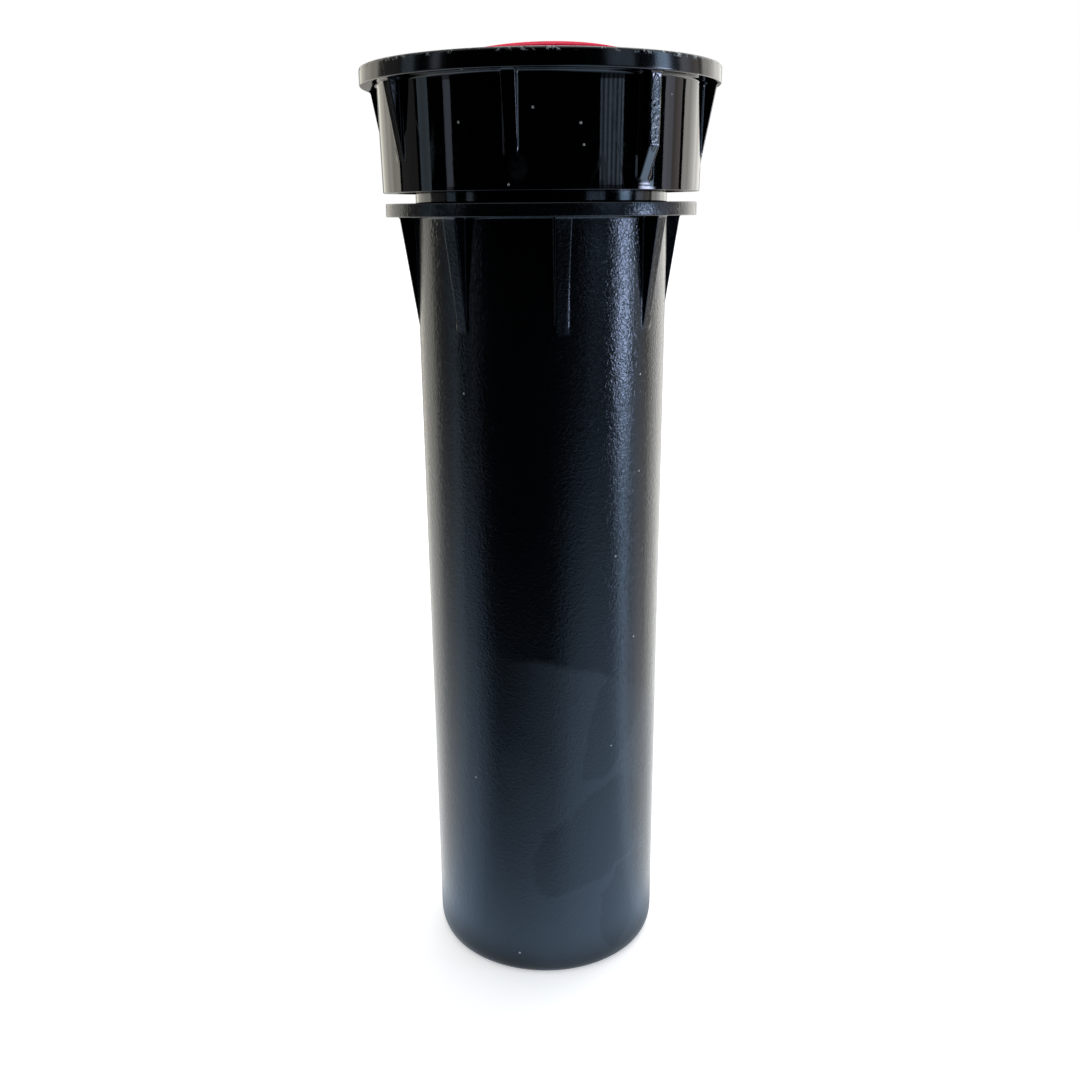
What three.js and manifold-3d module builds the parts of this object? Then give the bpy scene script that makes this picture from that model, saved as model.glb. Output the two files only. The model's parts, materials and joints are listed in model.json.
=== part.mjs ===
// Pop-up sprinkler for an irrigation line: a gear-driven mini rotor, shown retracted.
// Millimetres, +Z up. The origin is the centre of the case's bottom face.
// The front, where the nozzle points at rest, is -Y. An azimuth is counted from
// the front, positive towards +X.

import * as THREE from 'three';
import { mergeVertices } from 'three/addons/utils/BufferGeometryUtils.js';
import Module from 'manifold-3d';

const wasm = await Module();
wasm.setup();

// ---- driving dimensions ----------------------------------------------------

const SIDES = 32;
const SIDES_INNER = 24;
const SIDES_SMALL = 16;
const SIDES_PIN = 12;

// case
const CASE_R_FOOT = 19.8;
const CASE_R_TOP = 20.15;
const CASE_BORE_R = 17.7;
const CASE_FLANGE_R = 24.75;
const CASE_FLANGE_Z = 128.2;
const CASE_FLANGE_T = 2.0;
const NECK_R = 20.0;
const NECK_TOP_Z = 146.0;
const NECK_ROOT_R = 20.4;
const NECK_CREST_R = 21.6;
const NECK_CREST_Z = [135, 138, 141];
const GUSSETS = 8;
const GUSSET_AZIMUTH = 8;
const GUSSET_T = 2.1;
const GUIDE_RIBS = 4;
const GUIDE_RIB_R = 17.0;
const GUIDE_RIB_W = 1.6;

// half-inch female inlet in the bottom of the case
const INLET_MOUTH_R = 10.65;
const INLET_END_R = 9.6;
const INLET_DEPTH = 14;
const INLET_HOLE_R = 7.5;
const BOSS_R = 13.0;
const BOSS_TOP_Z = 15.0;
const FOOT_RING_R = [16.6, 18.6];

// cap
const CAP_FOOT_R = 25.07;
const CAP_TOP_R = 25.4;
const CAP_FOOT_Z = 131.8;
const CAP_FLANGE_R = 28.0;
const CAP_FLANGE_Z = 147.4;
const CAP_TOP_Z = 150.0;
const CAP_HOLE_R = 14.3;
const CAP_ROOT_R = 22.5;
const CAP_CREST_R = 20.9;
const CAP_CREST_Z = [136.5, 139.5, 142.5];
const CAP_RIBS = 8;
const CAP_RIB_AZIMUTH = -9.5;
const CAP_RIB_T = 1.9;
const CAP_RIB_R = 27.3;
const INDEX_RIB = 1;

// riser and spring
const RISER_R = 13.5;
const RISER_BORE_R = 12.2;
const RISER_FOOT_Z = 17.5;
const RISER_TOP_Z = 126.0;
const SPRING_WIRE_R = 0.65;
const SPRING_R = 15.5;
const SPRING_TURNS = 9;
const SPRING_FOOT_Z = 22.9;
const SPRING_TOP_Z = 139.8;

// gear train: equal stages on two parallel axes
const MODULE = 0.3;
const PINION_TEETH = 8;
const WHEEL_TEETH = 28;
const AXIS_B_X = (MODULE * (PINION_TEETH + WHEEL_TEETH)) / 2;
const STAGE_Z = 62.7;
const STAGE_STEP = 1.8;
const WHEEL_T = 1.2;
const PINION_T = 2.1;
const GEAR_BORE_R = 0.57;
const GEAR_PIN_R = 0.5;

// turret and its adjusting gear
const TURRET_R = 13.2;
const TURRET_INNER_R = 11.8;
const TURRET_FOOT_Z = 127.3;
const TURRET_TOP_Z = 149.8;
const STEM_R = 5.0;
const STEM_BORE_R = 3.8;
const NOZZLE_Z = 139.5;
const NOZZLE_TILT = 20;
const NOZZLE_BORE_R = 3.6;
const ARC_MODULE = 0.5;
const ARC_RING_TEETH = 28;
const ARC_AXIS_X = (ARC_MODULE * (PINION_TEETH + ARC_RING_TEETH)) / 2;
const RADIUS_SCREW_Y = -8.4;
const DOG_R = [8.4, 9.9];
const FIXED_DOG_ANGLE = 250;
const ARC_DOG_ANGLE = 110;

// cover
const COVER_R = 13.9;
const COVER_FOOT_Z = 150.3;
const COVER_RIM_Z = 152.05;
const COVER_APEX_Z = 153.4;

// ---- materials ---------------------------------------------------------------

const paint = (color, roughness, metalness = 0) =>
  new THREE.MeshStandardMaterial({ color, roughness, metalness });

const CASE_PLASTIC = paint(0x17191c, 0.42);
const CAP_PLASTIC = paint(0x0d0e10, 0.16);
const RISER_PLASTIC = paint(0x1b1c1f, 0.35);
const ACETAL = paint(0xe6e3d8, 0.4);
const GREY_PLASTIC = paint(0x6f7478, 0.45);
const BLUE_PLASTIC = paint(0x2a5c9a, 0.4);
const BLACK_RUBBER = paint(0x161616, 0.75);
const RED_RUBBER = paint(0xc40f36, 0.5);
const STEEL = paint(0xc4c7ca, 0.28, 1);

// ---- geometry helpers --------------------------------------------------------

const radians = THREE.MathUtils.degToRad;

// The signed volume of an indexed triangle list, positive when its faces point out.
function signedVolume(positions, triangles) {
  const [a, b, c] = [new THREE.Vector3(), new THREE.Vector3(), new THREE.Vector3()];
  let sum = 0;
  for (let i = 0; i < triangles.length; i += 3) {
    a.fromArray(positions, triangles[i] * 3);
    b.fromArray(positions, triangles[i + 1] * 3);
    c.fromArray(positions, triangles[i + 2] * 3);
    sum += a.dot(b.cross(c));
  }
  return sum / 6;
}

// A closed three.js geometry as a manifold solid.
function solid(geometry) {
  geometry.deleteAttribute('normal');
  geometry.deleteAttribute('uv');
  const merged = mergeVertices(geometry, 1e-5);
  const positions = new Float32Array(merged.attributes.position.array);
  const triangles = [];
  for (let i = 0; i < merged.index.count; i += 3) {
    const [a, b, c] = [0, 1, 2].map((k) => merged.index.getX(i + k));
    if (a !== b && b !== c && c !== a) {
      triangles.push(a, b, c);
    }
  }
  if (signedVolume(positions, triangles) < 0) {
    triangles.reverse();
  }
  return new wasm.Manifold(
    new wasm.Mesh({
      numProp: 3,
      vertProperties: positions,
      triVerts: new Uint32Array(triangles),
    }),
  );
}

// A manifold solid as a flat-shaded three.js mesh.
function part(name, body, material) {
  const { vertProperties, triVerts } = body.getMesh();
  const geometry = new THREE.BufferGeometry();
  geometry.setAttribute('position', new THREE.BufferAttribute(vertProperties, 3));
  geometry.setIndex(new THREE.BufferAttribute(triVerts, 1));
  geometry.computeVertexNormals();
  const mesh = new THREE.Mesh(geometry, material);
  mesh.name = name;
  return mesh;
}

const union = (bodies) => bodies.reduce((all, body) => all.add(body));
const cut = (body, tools) => tools.reduce((rest, tool) => rest.subtract(tool), body);

// A closed (radius, height) profile turned about Z.
function turned(profile, sides = SIDES_INNER) {
  const points = profile.map(([r, z]) => new THREE.Vector2(r, z));
  const onAxis = profile[0][0] === 0 && profile.at(-1)[0] === 0;
  if (!onAxis) {
    points.push(points[0].clone());
  }
  return solid(new THREE.LatheGeometry(points, sides).rotateX(Math.PI / 2));
}

const ring = (rIn, rOut, z0, z1, sides = SIDES_INNER) =>
  turned([[rIn, z0], [rOut, z0], [rOut, z1], [rIn, z1]], sides);

// A cylinder on Z from z0 to z1, its axis at (x, y).
function rod(radius, z0, z1, x = 0, y = 0, sides = SIDES_PIN) {
  const geometry = new THREE.CylinderGeometry(radius, radius, z1 - z0, sides);
  return solid(geometry.rotateX(Math.PI / 2).translate(x, y, (z0 + z1) / 2));
}

function block(width, depth, height, x, y, z) {
  return solid(new THREE.BoxGeometry(width, depth, height).translate(x, y, z));
}

// An outline in the XY plane raised from z0 to z1, with an optional round hole.
function raised(outline, z0, z1, holeR = 0) {
  const shape = new THREE.Shape(outline);
  if (holeR > 0) {
    shape.holes.push(new THREE.Path(circlePoints(holeR, SIDES_PIN)));
  }
  const geometry = new THREE.ExtrudeGeometry(shape, { depth: z1 - z0, bevelEnabled: false });
  return solid(geometry.translate(0, 0, z0));
}

function circlePoints(radius, count) {
  return Array.from({ length: count }, (_, k) => polar(radius, (360 * k) / count));
}

function polar(radius, degrees) {
  const angle = radians(degrees);
  return new THREE.Vector2(radius * Math.cos(angle), radius * Math.sin(angle));
}

// A sector of a ring, centred on an angle counted from +X.
function sector(rIn, rOut, centre, halfWidth, z0, z1, steps = 4) {
  const points = [];
  for (let k = 0; k <= steps; k += 1) {
    points.push(polar(rOut, centre - halfWidth + (2 * halfWidth * k) / steps));
  }
  for (let k = steps; k >= 0; k -= 1) {
    points.push(polar(rIn, centre - halfWidth + (2 * halfWidth * k) / steps));
  }
  return raised(points, z0, z1);
}

// A plate standing on a radius: its outline is (radius, height) and it is set at an azimuth.
function radialPlate(outline, thickness, azimuth) {
  const shape = new THREE.Shape(outline.map(([r, z]) => new THREE.Vector2(r, z)));
  const geometry = new THREE.ExtrudeGeometry(shape, { depth: thickness, bevelEnabled: false });
  geometry.translate(0, 0, -thickness / 2);
  const frame = new THREE.Matrix4().makeBasis(
    new THREE.Vector3(0, -1, 0),
    new THREE.Vector3(0, 0, 1),
    new THREE.Vector3(-1, 0, 0),
  );
  geometry.applyMatrix4(frame).rotateZ(radians(azimuth));
  return solid(geometry);
}

const platesAround = (outline, thickness, count, azimuth) =>
  Array.from({ length: count }, (_, k) =>
    radialPlate(outline, thickness, azimuth + (360 / count) * k));

// Straight-sided teeth. The phase turns the first tooth from +X.
function toothOutline(teeth, module, phase) {
  const pitchR = (teeth * module) / 2;
  const [rootR, tipR] = [pitchR - 1.2 * module, pitchR + 0.9 * module];
  const [rootHalf, tipHalf] = [0.75 * module, 0.33 * module];
  const points = [];
  for (let k = 0; k < teeth; k += 1) {
    const centre = phase + (2 * Math.PI * k) / teeth;
    const corners = [[rootR, -rootHalf], [tipR, -tipHalf], [tipR, tipHalf], [rootR, rootHalf]];
    for (const [r, half] of corners) {
      const angle = centre + half / r;
      points.push(new THREE.Vector2(r * Math.cos(angle), r * Math.sin(angle)));
    }
  }
  return points;
}

const pinion = (module, z0, z1, holeR) =>
  raised(toothOutline(PINION_TEETH, module, 0), z0, z1, holeR);
const wheel = (teeth, module, z0, z1, holeR) =>
  raised(toothOutline(teeth, module, Math.PI / teeth), z0, z1, holeR);

// ---- case and what stays with it ----------------------------------------------

function neckThread() {
  return NECK_CREST_Z.flatMap((z) => [
    [NECK_ROOT_R, z - 0.9],
    [NECK_CREST_R, z],
    [NECK_ROOT_R, z + 0.9],
  ]);
}

function makeCase() {
  const flangeTop = CASE_FLANGE_Z + CASE_FLANGE_T;
  const shell = turned([
    [INLET_MOUTH_R, 0],
    [BOSS_R - 0.3, 0],
    [BOSS_R, 2.6],
    [FOOT_RING_R[0], 2.6],
    [FOOT_RING_R[0], 0],
    [FOOT_RING_R[1], 0],
    [CASE_R_FOOT - 0.6, 0.4],
    [CASE_R_FOOT - 0.16, 1.5],
    [CASE_R_FOOT, 3.0],
    [CASE_R_TOP, CASE_FLANGE_Z],
    [CASE_FLANGE_R, CASE_FLANGE_Z],
    [CASE_FLANGE_R, flangeTop],
    [NECK_R, flangeTop],
    [NECK_R, 133.0],
    [NECK_ROOT_R, 133.6],
    ...neckThread(),
    [NECK_ROOT_R, NECK_TOP_Z - 0.5],
    [NECK_ROOT_R - 0.5, NECK_TOP_Z],
    [CASE_BORE_R + 0.3, NECK_TOP_Z],
    [CASE_BORE_R, NECK_TOP_Z - 0.4],
    [CASE_BORE_R, 7],
    [CASE_BORE_R - 1.5, 5],
    [BOSS_R, 5],
    [BOSS_R, BOSS_TOP_Z],
    [INLET_HOLE_R, BOSS_TOP_Z],
    [INLET_HOLE_R, INLET_DEPTH],
    [INLET_END_R, INLET_DEPTH],
  ], SIDES);
  const gussetOutline = [
    [19.7, CASE_FLANGE_Z + 0.5],
    [19.7, 111.2],
    [20.1, 111.2],
    [22.65, CASE_FLANGE_Z],
    [22.65, CASE_FLANGE_Z + 0.5],
  ];
  const footWebOutline = [[12.4, 0.8], [16.9, 0.8], [16.9, 3], [12.4, 3]];
  const guideOutline = [
    [GUIDE_RIB_R, 15.5],
    [CASE_BORE_R + 0.4, 14.8],
    [CASE_BORE_R + 0.4, 134],
    [GUIDE_RIB_R, 133.3],
  ];
  return union([
    shell,
    ...platesAround(gussetOutline, GUSSET_T, GUSSETS, GUSSET_AZIMUTH),
    ...platesAround(footWebOutline, 1.4, 8, 0),
    ...platesAround(guideOutline, GUIDE_RIB_W, GUIDE_RIBS, 45),
  ]);
}

function capThread() {
  return CAP_CREST_Z.toReversed().flatMap((z) => [
    [CAP_ROOT_R, z + 1.1],
    [CAP_CREST_R, z],
    [CAP_ROOT_R, z - 1.1],
  ]);
}

function makeCap() {
  const ceiling = CAP_TOP_Z - 2.6;
  const shell = turned([
    [CAP_ROOT_R + 0.4, CAP_FOOT_Z],
    [CAP_FOOT_R, CAP_FOOT_Z],
    [CAP_TOP_R, CAP_FLANGE_Z - 0.5],
    [CAP_TOP_R + 0.5, CAP_FLANGE_Z],
    [CAP_FLANGE_R - 0.4, CAP_FLANGE_Z],
    [CAP_FLANGE_R, CAP_FLANGE_Z + 0.4],
    [CAP_FLANGE_R, CAP_TOP_Z - 0.4],
    [CAP_FLANGE_R - 0.4, CAP_TOP_Z],
    [CAP_HOLE_R + 0.7, CAP_TOP_Z],
    [CAP_HOLE_R, CAP_TOP_Z - 0.5],
    [CAP_HOLE_R, ceiling],
    [CAP_ROOT_R, ceiling],
    ...capThread(),
    [CAP_ROOT_R, 133.2],
  ], SIDES);
  const ribTop = CAP_FLANGE_Z + 0.3;
  const taper = [[24.6, ribTop], [24.6, 136.0], [25.2, 136.0], [CAP_RIB_R, ribTop]];
  const squared = [
    [24.6, ribTop],
    [24.6, 133.1],
    [25.1, 133.1],
    [CAP_RIB_R, 137.6],
    [CAP_RIB_R, ribTop],
  ];
  const ribs = Array.from({ length: CAP_RIBS }, (_, k) => {
    const outline = k === INDEX_RIB ? squared : taper;
    return radialPlate(outline, CAP_RIB_T, CAP_RIB_AZIMUTH + (360 / CAP_RIBS) * k);
  });
  return union([shell, ...ribs]);
}

function makeWiperSeal() {
  return turned([
    [14.7, 144.0],
    [17.5, 144.0],
    [17.5, 147.2],
    [14.1, 147.2],
    [14.1, 149.3],
    [13.75, 149.5],
    [13.75, 146.0],
  ]);
}

function makeSpringSeat() {
  return turned([
    [14.0, 140.6],
    [17.4, 140.6],
    [17.4, 143.7],
    [16.4, 143.7],
    [16.4, 142.2],
    [14.0, 142.2],
  ]);
}

class Helix extends THREE.Curve {
  getPoint(t, target = new THREE.Vector3()) {
    const angle = 2 * Math.PI * SPRING_TURNS * t;
    const lift = THREE.MathUtils.lerp(SPRING_FOOT_Z, SPRING_TOP_Z, t);
    return target.set(SPRING_R * Math.cos(angle), SPRING_R * Math.sin(angle), lift);
  }
}

function makeSpring() {
  const wire = new THREE.Shape(circlePoints(SPRING_WIRE_R, 5));
  const options = { steps: SPRING_TURNS * 10, extrudePath: new Helix(), bevelEnabled: false };
  return solid(new THREE.ExtrudeGeometry(wire, options));
}

// ---- riser and what stays with it ----------------------------------------------

function makeRiser() {
  return turned([
    [RISER_BORE_R, RISER_FOOT_Z],
    [16.5, RISER_FOOT_Z],
    [16.7, RISER_FOOT_Z + 1.4],
    [RISER_R, RISER_FOOT_Z + 1.5],
    [RISER_R, RISER_TOP_Z - 0.5],
    [RISER_R - 0.4, RISER_TOP_Z],
    [RISER_BORE_R, RISER_TOP_Z],
  ]);
}

function makeRatchetRing() {
  const notch = [[GUIDE_RIB_R - 0.4, 18], [18.5, 18], [18.5, 23], [GUIDE_RIB_R - 0.4, 23]];
  const body = ring(RISER_R + 0.1, 17.3, RISER_FOOT_Z + 1.6, 22.0);
  return cut(body, platesAround(notch, GUIDE_RIB_W + 0.8, GUIDE_RIBS, 45));
}

function makeScreen() {
  const cage = turned([
    [9.8, 18.1],
    [11.9, 18.1],
    [11.9, 19.7],
    [10.9, 19.7],
    [10.6, 47.0],
    [0, 47.0],
    [0, 45.9],
    [9.6, 45.9],
  ], SIDES_SMALL);
  const slots = Array.from({ length: 8 }, (_, k) => {
    const azimuth = 22.5 + 45 * k;
    return radialPlate([[9, 22], [12, 22], [12, 43], [9, 43]], 4.6, azimuth);
  });
  return cut(cage, slots);
}

function makeStator() {
  const disc = turned([
    [GEAR_BORE_R, 49.4],
    [2.2, 49.4],
    [2.2, 50.4],
    [12.1, 50.4],
    [12.1, 52.4],
    [GEAR_BORE_R, 52.4],
  ], SIDES_SMALL);
  const ports = Array.from({ length: 6 }, (_, k) => {
    const port = new THREE.BoxGeometry(2.4, 4.2, 6);
    port.rotateY(radians(35)).translate(0, -8.2, 51.4).rotateZ(radians(60 * k));
    return solid(port);
  });
  return cut(disc, ports);
}

function makeGearHousing() {
  const cup = turned([
    [GEAR_BORE_R, 60.2],
    [11.1, 60.2],
    [11.1, 74.9],
    [10.3, 74.9],
    [10.3, 61.4],
    [GEAR_BORE_R, 61.4],
  ]);
  const lug = [[10.7, 60.2], [12.1, 60.2], [12.1, 64], [10.7, 66]];
  const pinHole = rod(GEAR_PIN_R + 0.04, 59, 62, AXIS_B_X);
  return cut(union([cup, ...platesAround(lug, 1.6, 4, 30)]), [pinHole]);
}

function makeGearPlate() {
  const disc = ring(3.1, 11.1, 75.0, 76.2);
  return cut(disc, [rod(GEAR_PIN_R + 0.04, 74, 77, AXIS_B_X)]);
}

function makeRiserBearing() {
  const body = turned([
    [STEM_R + 0.12, 119.2],
    [10.4, 119.2],
    [12.1, 120.4],
    [12.1, RISER_TOP_Z],
    [STEM_R + 0.12, RISER_TOP_Z],
    [STEM_R + 0.12, 123.0],
    [6.1, 123.0],
    [6.1, 121.8],
    [STEM_R + 0.12, 121.8],
  ]);
  return cut(body, [sector(8.5, 10.1, 110, 16, 118, 127)]);
}

function makeToggleSpring() {
  return sector(10.7, 11.3, 250, 34, RISER_TOP_Z + 0.1, RISER_TOP_Z + 0.8, 6);
}

// ---- turbine and gear train ------------------------------------------------------

function makeTurbine() {
  const hub = ring(GEAR_BORE_R, 4.4, 53.6, 58.0, SIDES_SMALL);
  const blades = Array.from({ length: 8 }, (_, k) => {
    const blade = new THREE.BoxGeometry(0.8, 7.2, 4.4);
    blade.rotateY(radians(-28)).translate(0, -7.4, 55.8).rotateZ(radians(45 * k));
    return solid(blade);
  });
  return union([hub, ...blades]);
}

const stageZ = (stage) => STAGE_Z + STAGE_STEP * stage;

// One wheel with its pinion moulded on top, on one of the two parallel axes.
function makeCompoundGear(stage, x) {
  const z = stageZ(stage);
  const low = wheel(WHEEL_TEETH, MODULE, z, z + WHEEL_T, GEAR_BORE_R);
  const high = pinion(MODULE, z + WHEEL_T, z + WHEEL_T + PINION_T, GEAR_BORE_R);
  return low.add(high).translate([x, 0, 0]);
}

function makeOutputGear() {
  const z = stageZ(5);
  const gear = wheel(WHEEL_TEETH, MODULE, z, z + WHEEL_T, GEAR_PIN_R + 0.03);
  return gear.add(ring(GEAR_PIN_R + 0.03, 2.8, z + WHEEL_T, 76.6, SIDES_PIN));
}

function makeOutputShaft() {
  const tube = turned([
    [0, 76.9],
    [6.0, 76.9],
    [6.0, 78.4],
    [STEM_R, 79.4],
    [STEM_R, 114.6],
    [6.4, 114.6],
    [6.4, 116.0],
    [STEM_BORE_R, 116.0],
    [STEM_BORE_R, 81],
    [0, 81],
  ], SIDES_SMALL);
  const windows = [0, 90].map((turn) =>
    solid(new THREE.BoxGeometry(3.6, 14, 14).translate(0, 0, 91).rotateZ(radians(turn))));
  return cut(tube, windows);
}

// ---- turret ------------------------------------------------------------------------

// A cylinder on the nozzle's axis, from one distance along it to another.
function nozzleRod(radius, from, to, sides = SIDES_SMALL) {
  const geometry = new THREE.CylinderGeometry(radius, radius, to - from, sides);
  geometry.rotateX(Math.PI).translate(0, -(from + to) / 2, 0);
  geometry.rotateX(radians(-NOZZLE_TILT)).translate(0, 0, NOZZLE_Z);
  return solid(geometry);
}

function makeTurret() {
  const shell = turned([
    [STEM_R, 128.6],
    [STEM_R, TURRET_TOP_Z - 2.2],
    [TURRET_INNER_R, TURRET_TOP_Z - 2.2],
    [TURRET_INNER_R, TURRET_FOOT_Z],
    [TURRET_R, TURRET_FOOT_Z],
    [TURRET_R, TURRET_TOP_Z - 0.4],
    [TURRET_R - 0.4, TURRET_TOP_Z],
    [0, TURRET_TOP_Z],
    [0, 117.1],
    [STEM_R, 117.1],
  ]);
  const foot = rod(6.4, 117.1, 118.6, 0, 0, SIDES_SMALL);
  const barrel = nozzleRod(NOZZLE_BORE_R + 1.2, 2.5, 12.6);
  const dog = sector(DOG_R[0], DOG_R[1], FIXED_DOG_ANGLE, 5, 128.0, 130.0);
  const dogWeb = sector(STEM_R - 0.3, TURRET_INNER_R + 0.4, FIXED_DOG_ANGLE, 5, 129.2, 130.0);
  const solidTurret = union([shell, foot, barrel, dog, dogWeb]);
  return cut(solidTurret, [
    rod(STEM_BORE_R, 116, NOZZLE_Z + 2.2, 0, 0, SIDES_SMALL),
    nozzleRod(NOZZLE_BORE_R, 0, 16),
    rod(1.75, NOZZLE_Z + 2, TURRET_TOP_Z + 1, 0, RADIUS_SCREW_Y),
    rod(1.75, 146, TURRET_TOP_Z + 1, ARC_AXIS_X, 0),
  ]);
}

function makeNozzle() {
  const body = nozzleRod(NOZZLE_BORE_R - 0.1, 6.2, 12.4);
  return cut(body, [
    nozzleRod(2.4, 5, 11.0, SIDES_PIN),
    nozzleRod(1.3, 10, 14, SIDES_PIN),
    rod(1.75, NOZZLE_Z + 2, TURRET_TOP_Z, 0, RADIUS_SCREW_Y),
  ]);
}

function makeArcRing() {
  const gear = wheel(ARC_RING_TEETH, ARC_MODULE, 131.2, 133.6, STEM_R + 0.5);
  const arm = sector(STEM_R + 0.5, DOG_R[1], ARC_DOG_ANGLE, 5, 130.3, 131.3);
  const dog = sector(DOG_R[0], DOG_R[1], ARC_DOG_ANGLE, 5, 128.0, 130.4);
  return union([gear, arm, dog]);
}

function makeArcScrew() {
  const gear = pinion(ARC_MODULE, 130.9, 133.9, 0);
  const post = rod(0.95, 133.8, 149.4);
  const head = rod(1.55, 146.4, 149.6);
  const slot = block(0.7, 4, 1.2, 0, 0, 149.3);
  return cut(union([gear, post, head]), [slot]).translate([ARC_AXIS_X, 0, 0]);
}

function makeRadiusScrew() {
  const thread = rod(1.5, 144.6, 149.6, 0, RADIUS_SCREW_Y);
  const tip = rod(0.9, 143.8, 144.7, 0, RADIUS_SCREW_Y);
  return cut(thread.add(tip), [block(0.6, 4, 1.2, 0, RADIUS_SCREW_Y, 149.3)]);
}

// A shallow dome with three blind recesses over the adjusting sockets.
function makeCover() {
  const profile = [[0, COVER_FOOT_Z], [COVER_R - 0.3, COVER_FOOT_Z]];
  profile.push([COVER_R, COVER_FOOT_Z + 0.4], [COVER_R, COVER_RIM_Z - 0.3]);
  const steps = 5;
  for (let k = 0; k <= steps; k += 1) {
    const r = ((COVER_R - 0.3) * (steps - k)) / steps;
    const fall = (COVER_APEX_Z - COVER_RIM_Z) * (r / COVER_R) ** 2;
    profile.push([r, COVER_APEX_Z - fall]);
  }
  const dimples = [[0, RADIUS_SCREW_Y], [ARC_AXIS_X, 0], [-6, 5]];
  return cut(
    turned(profile),
    dimples.map(([x, y]) => rod(1.5, COVER_RIM_Z - 0.6, COVER_APEX_Z + 1, x, y)),
  );
}

// ---- assembly ------------------------------------------------------------------------

const sprinkler = new THREE.Group();

const fixedGroup = new THREE.Group();
fixedGroup.add(
  part('case', makeCase(), CASE_PLASTIC),
  part('cap', makeCap(), CAP_PLASTIC),
  part('cap_seal', ring(18.3, 20.0, NECK_TOP_Z + 0.1, 147.3), BLACK_RUBBER),
  part('wiper_seal', makeWiperSeal(), BLACK_RUBBER),
  part('spring_seat', makeSpringSeat(), ACETAL),
  part('retract_spring', makeSpring(), STEEL),
);

const riserGroup = new THREE.Group();
riserGroup.add(
  part('riser', makeRiser(), RISER_PLASTIC),
  part('ratchet_ring', makeRatchetRing(), GREY_PLASTIC),
  part('check_seal', ring(8.6, 11.7, 15.4, 18.0, SIDES_SMALL), BLACK_RUBBER),
  part('inlet_screen', makeScreen(), BLUE_PLASTIC),
  part('stator', makeStator(), ACETAL),
  part('gear_housing', makeGearHousing(), GREY_PLASTIC),
  part('gear_plate', makeGearPlate(), GREY_PLASTIC),
  part('gear_pin_b', rod(GEAR_PIN_R, 60.4, 76.0, AXIS_B_X), STEEL),
  part('riser_bearing', makeRiserBearing(), ACETAL),
  part('stem_oring', ring(STEM_R + 0.13, 6.0, 121.95, 122.85), BLACK_RUBBER),
  part('toggle_spring', makeToggleSpring(), STEEL),
);

const turbineGroup = new THREE.Group();
turbineGroup.add(
  part('turbine', makeTurbine(), ACETAL),
  part('turbine_shaft', rod(GEAR_PIN_R, 48.9, 64.1), STEEL),
  part('turbine_pinion', pinion(MODULE, 62.3, 64.2, GEAR_BORE_R), ACETAL),
);

const gearGroup = new THREE.Group();
for (let stage = 0; stage < 5; stage += 1) {
  const x = stage % 2 === 0 ? AXIS_B_X : 0;
  gearGroup.add(part(`gear_${stage + 1}`, makeCompoundGear(stage, x), ACETAL));
}

const outputGroup = new THREE.Group();
outputGroup.add(
  part('output_gear', makeOutputGear(), ACETAL),
  part('gear_pin_a', rod(GEAR_PIN_R, 64.45, 76.3), STEEL),
  part('output_shaft', makeOutputShaft(), ACETAL),
  part('clutch_washer', ring(STEM_BORE_R + 0.2, 6.3, 116.1, 117.0, SIDES_SMALL), BLUE_PLASTIC),
);

const reverserGroup = new THREE.Group();
const tripRing = ring(8.0, 10.2, RISER_TOP_Z + 0.2, RISER_TOP_Z + 1.2);
const tripDog = sector(DOG_R[0], DOG_R[1], 0, 4, RISER_TOP_Z + 1.1, 129.6);
reverserGroup.add(
  part('trip_ring', tripRing.add(tripDog), ACETAL),
  part('shift_rod', rod(GEAR_PIN_R, 77.5, RISER_TOP_Z + 0.1, 0, 9.3).rotate([0, 0, 20]), STEEL),
);

const turretGroup = new THREE.Group();
turretGroup.add(
  part('turret', makeTurret(), RISER_PLASTIC),
  part('nozzle', makeNozzle(), BLUE_PLASTIC),
  part('radius_screw', makeRadiusScrew(), STEEL),
  part('arc_screw', makeArcScrew(), ACETAL),
  part('arc_ring', makeArcRing(), GREY_PLASTIC),
  part('cover', makeCover(), RED_RUBBER),
);

sprinkler.add(
  fixedGroup,
  riserGroup,
  turbineGroup,
  gearGroup,
  outputGroup,
  reverserGroup,
  turretGroup,
);

export default sprinkler;
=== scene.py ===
"""Pop-up sprinkler, shut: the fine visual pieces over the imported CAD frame.

Shapes are written in millimetres, in the CAD frame (+Z up, front at -Y), and are
made in metres. An azimuth is counted from the front, positive towards +X.
"""

import json
import math

import bmesh
import bpy
from mathutils import Matrix, Vector


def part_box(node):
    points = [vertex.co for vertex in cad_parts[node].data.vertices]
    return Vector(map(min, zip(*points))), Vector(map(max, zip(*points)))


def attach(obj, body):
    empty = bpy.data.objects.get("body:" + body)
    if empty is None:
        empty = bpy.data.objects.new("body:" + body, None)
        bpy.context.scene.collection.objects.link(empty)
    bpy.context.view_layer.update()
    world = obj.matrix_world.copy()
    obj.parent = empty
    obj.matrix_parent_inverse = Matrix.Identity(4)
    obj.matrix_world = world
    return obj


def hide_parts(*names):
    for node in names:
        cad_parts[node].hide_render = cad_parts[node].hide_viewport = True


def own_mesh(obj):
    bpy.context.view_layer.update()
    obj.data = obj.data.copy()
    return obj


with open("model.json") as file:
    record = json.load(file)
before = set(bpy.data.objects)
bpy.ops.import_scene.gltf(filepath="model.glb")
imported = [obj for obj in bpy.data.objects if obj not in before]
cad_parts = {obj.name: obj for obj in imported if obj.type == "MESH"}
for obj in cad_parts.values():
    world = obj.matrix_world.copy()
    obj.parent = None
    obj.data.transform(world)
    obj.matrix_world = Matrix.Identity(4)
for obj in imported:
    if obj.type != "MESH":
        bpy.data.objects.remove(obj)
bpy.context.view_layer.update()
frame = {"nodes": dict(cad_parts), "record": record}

MM = 0.001


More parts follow.
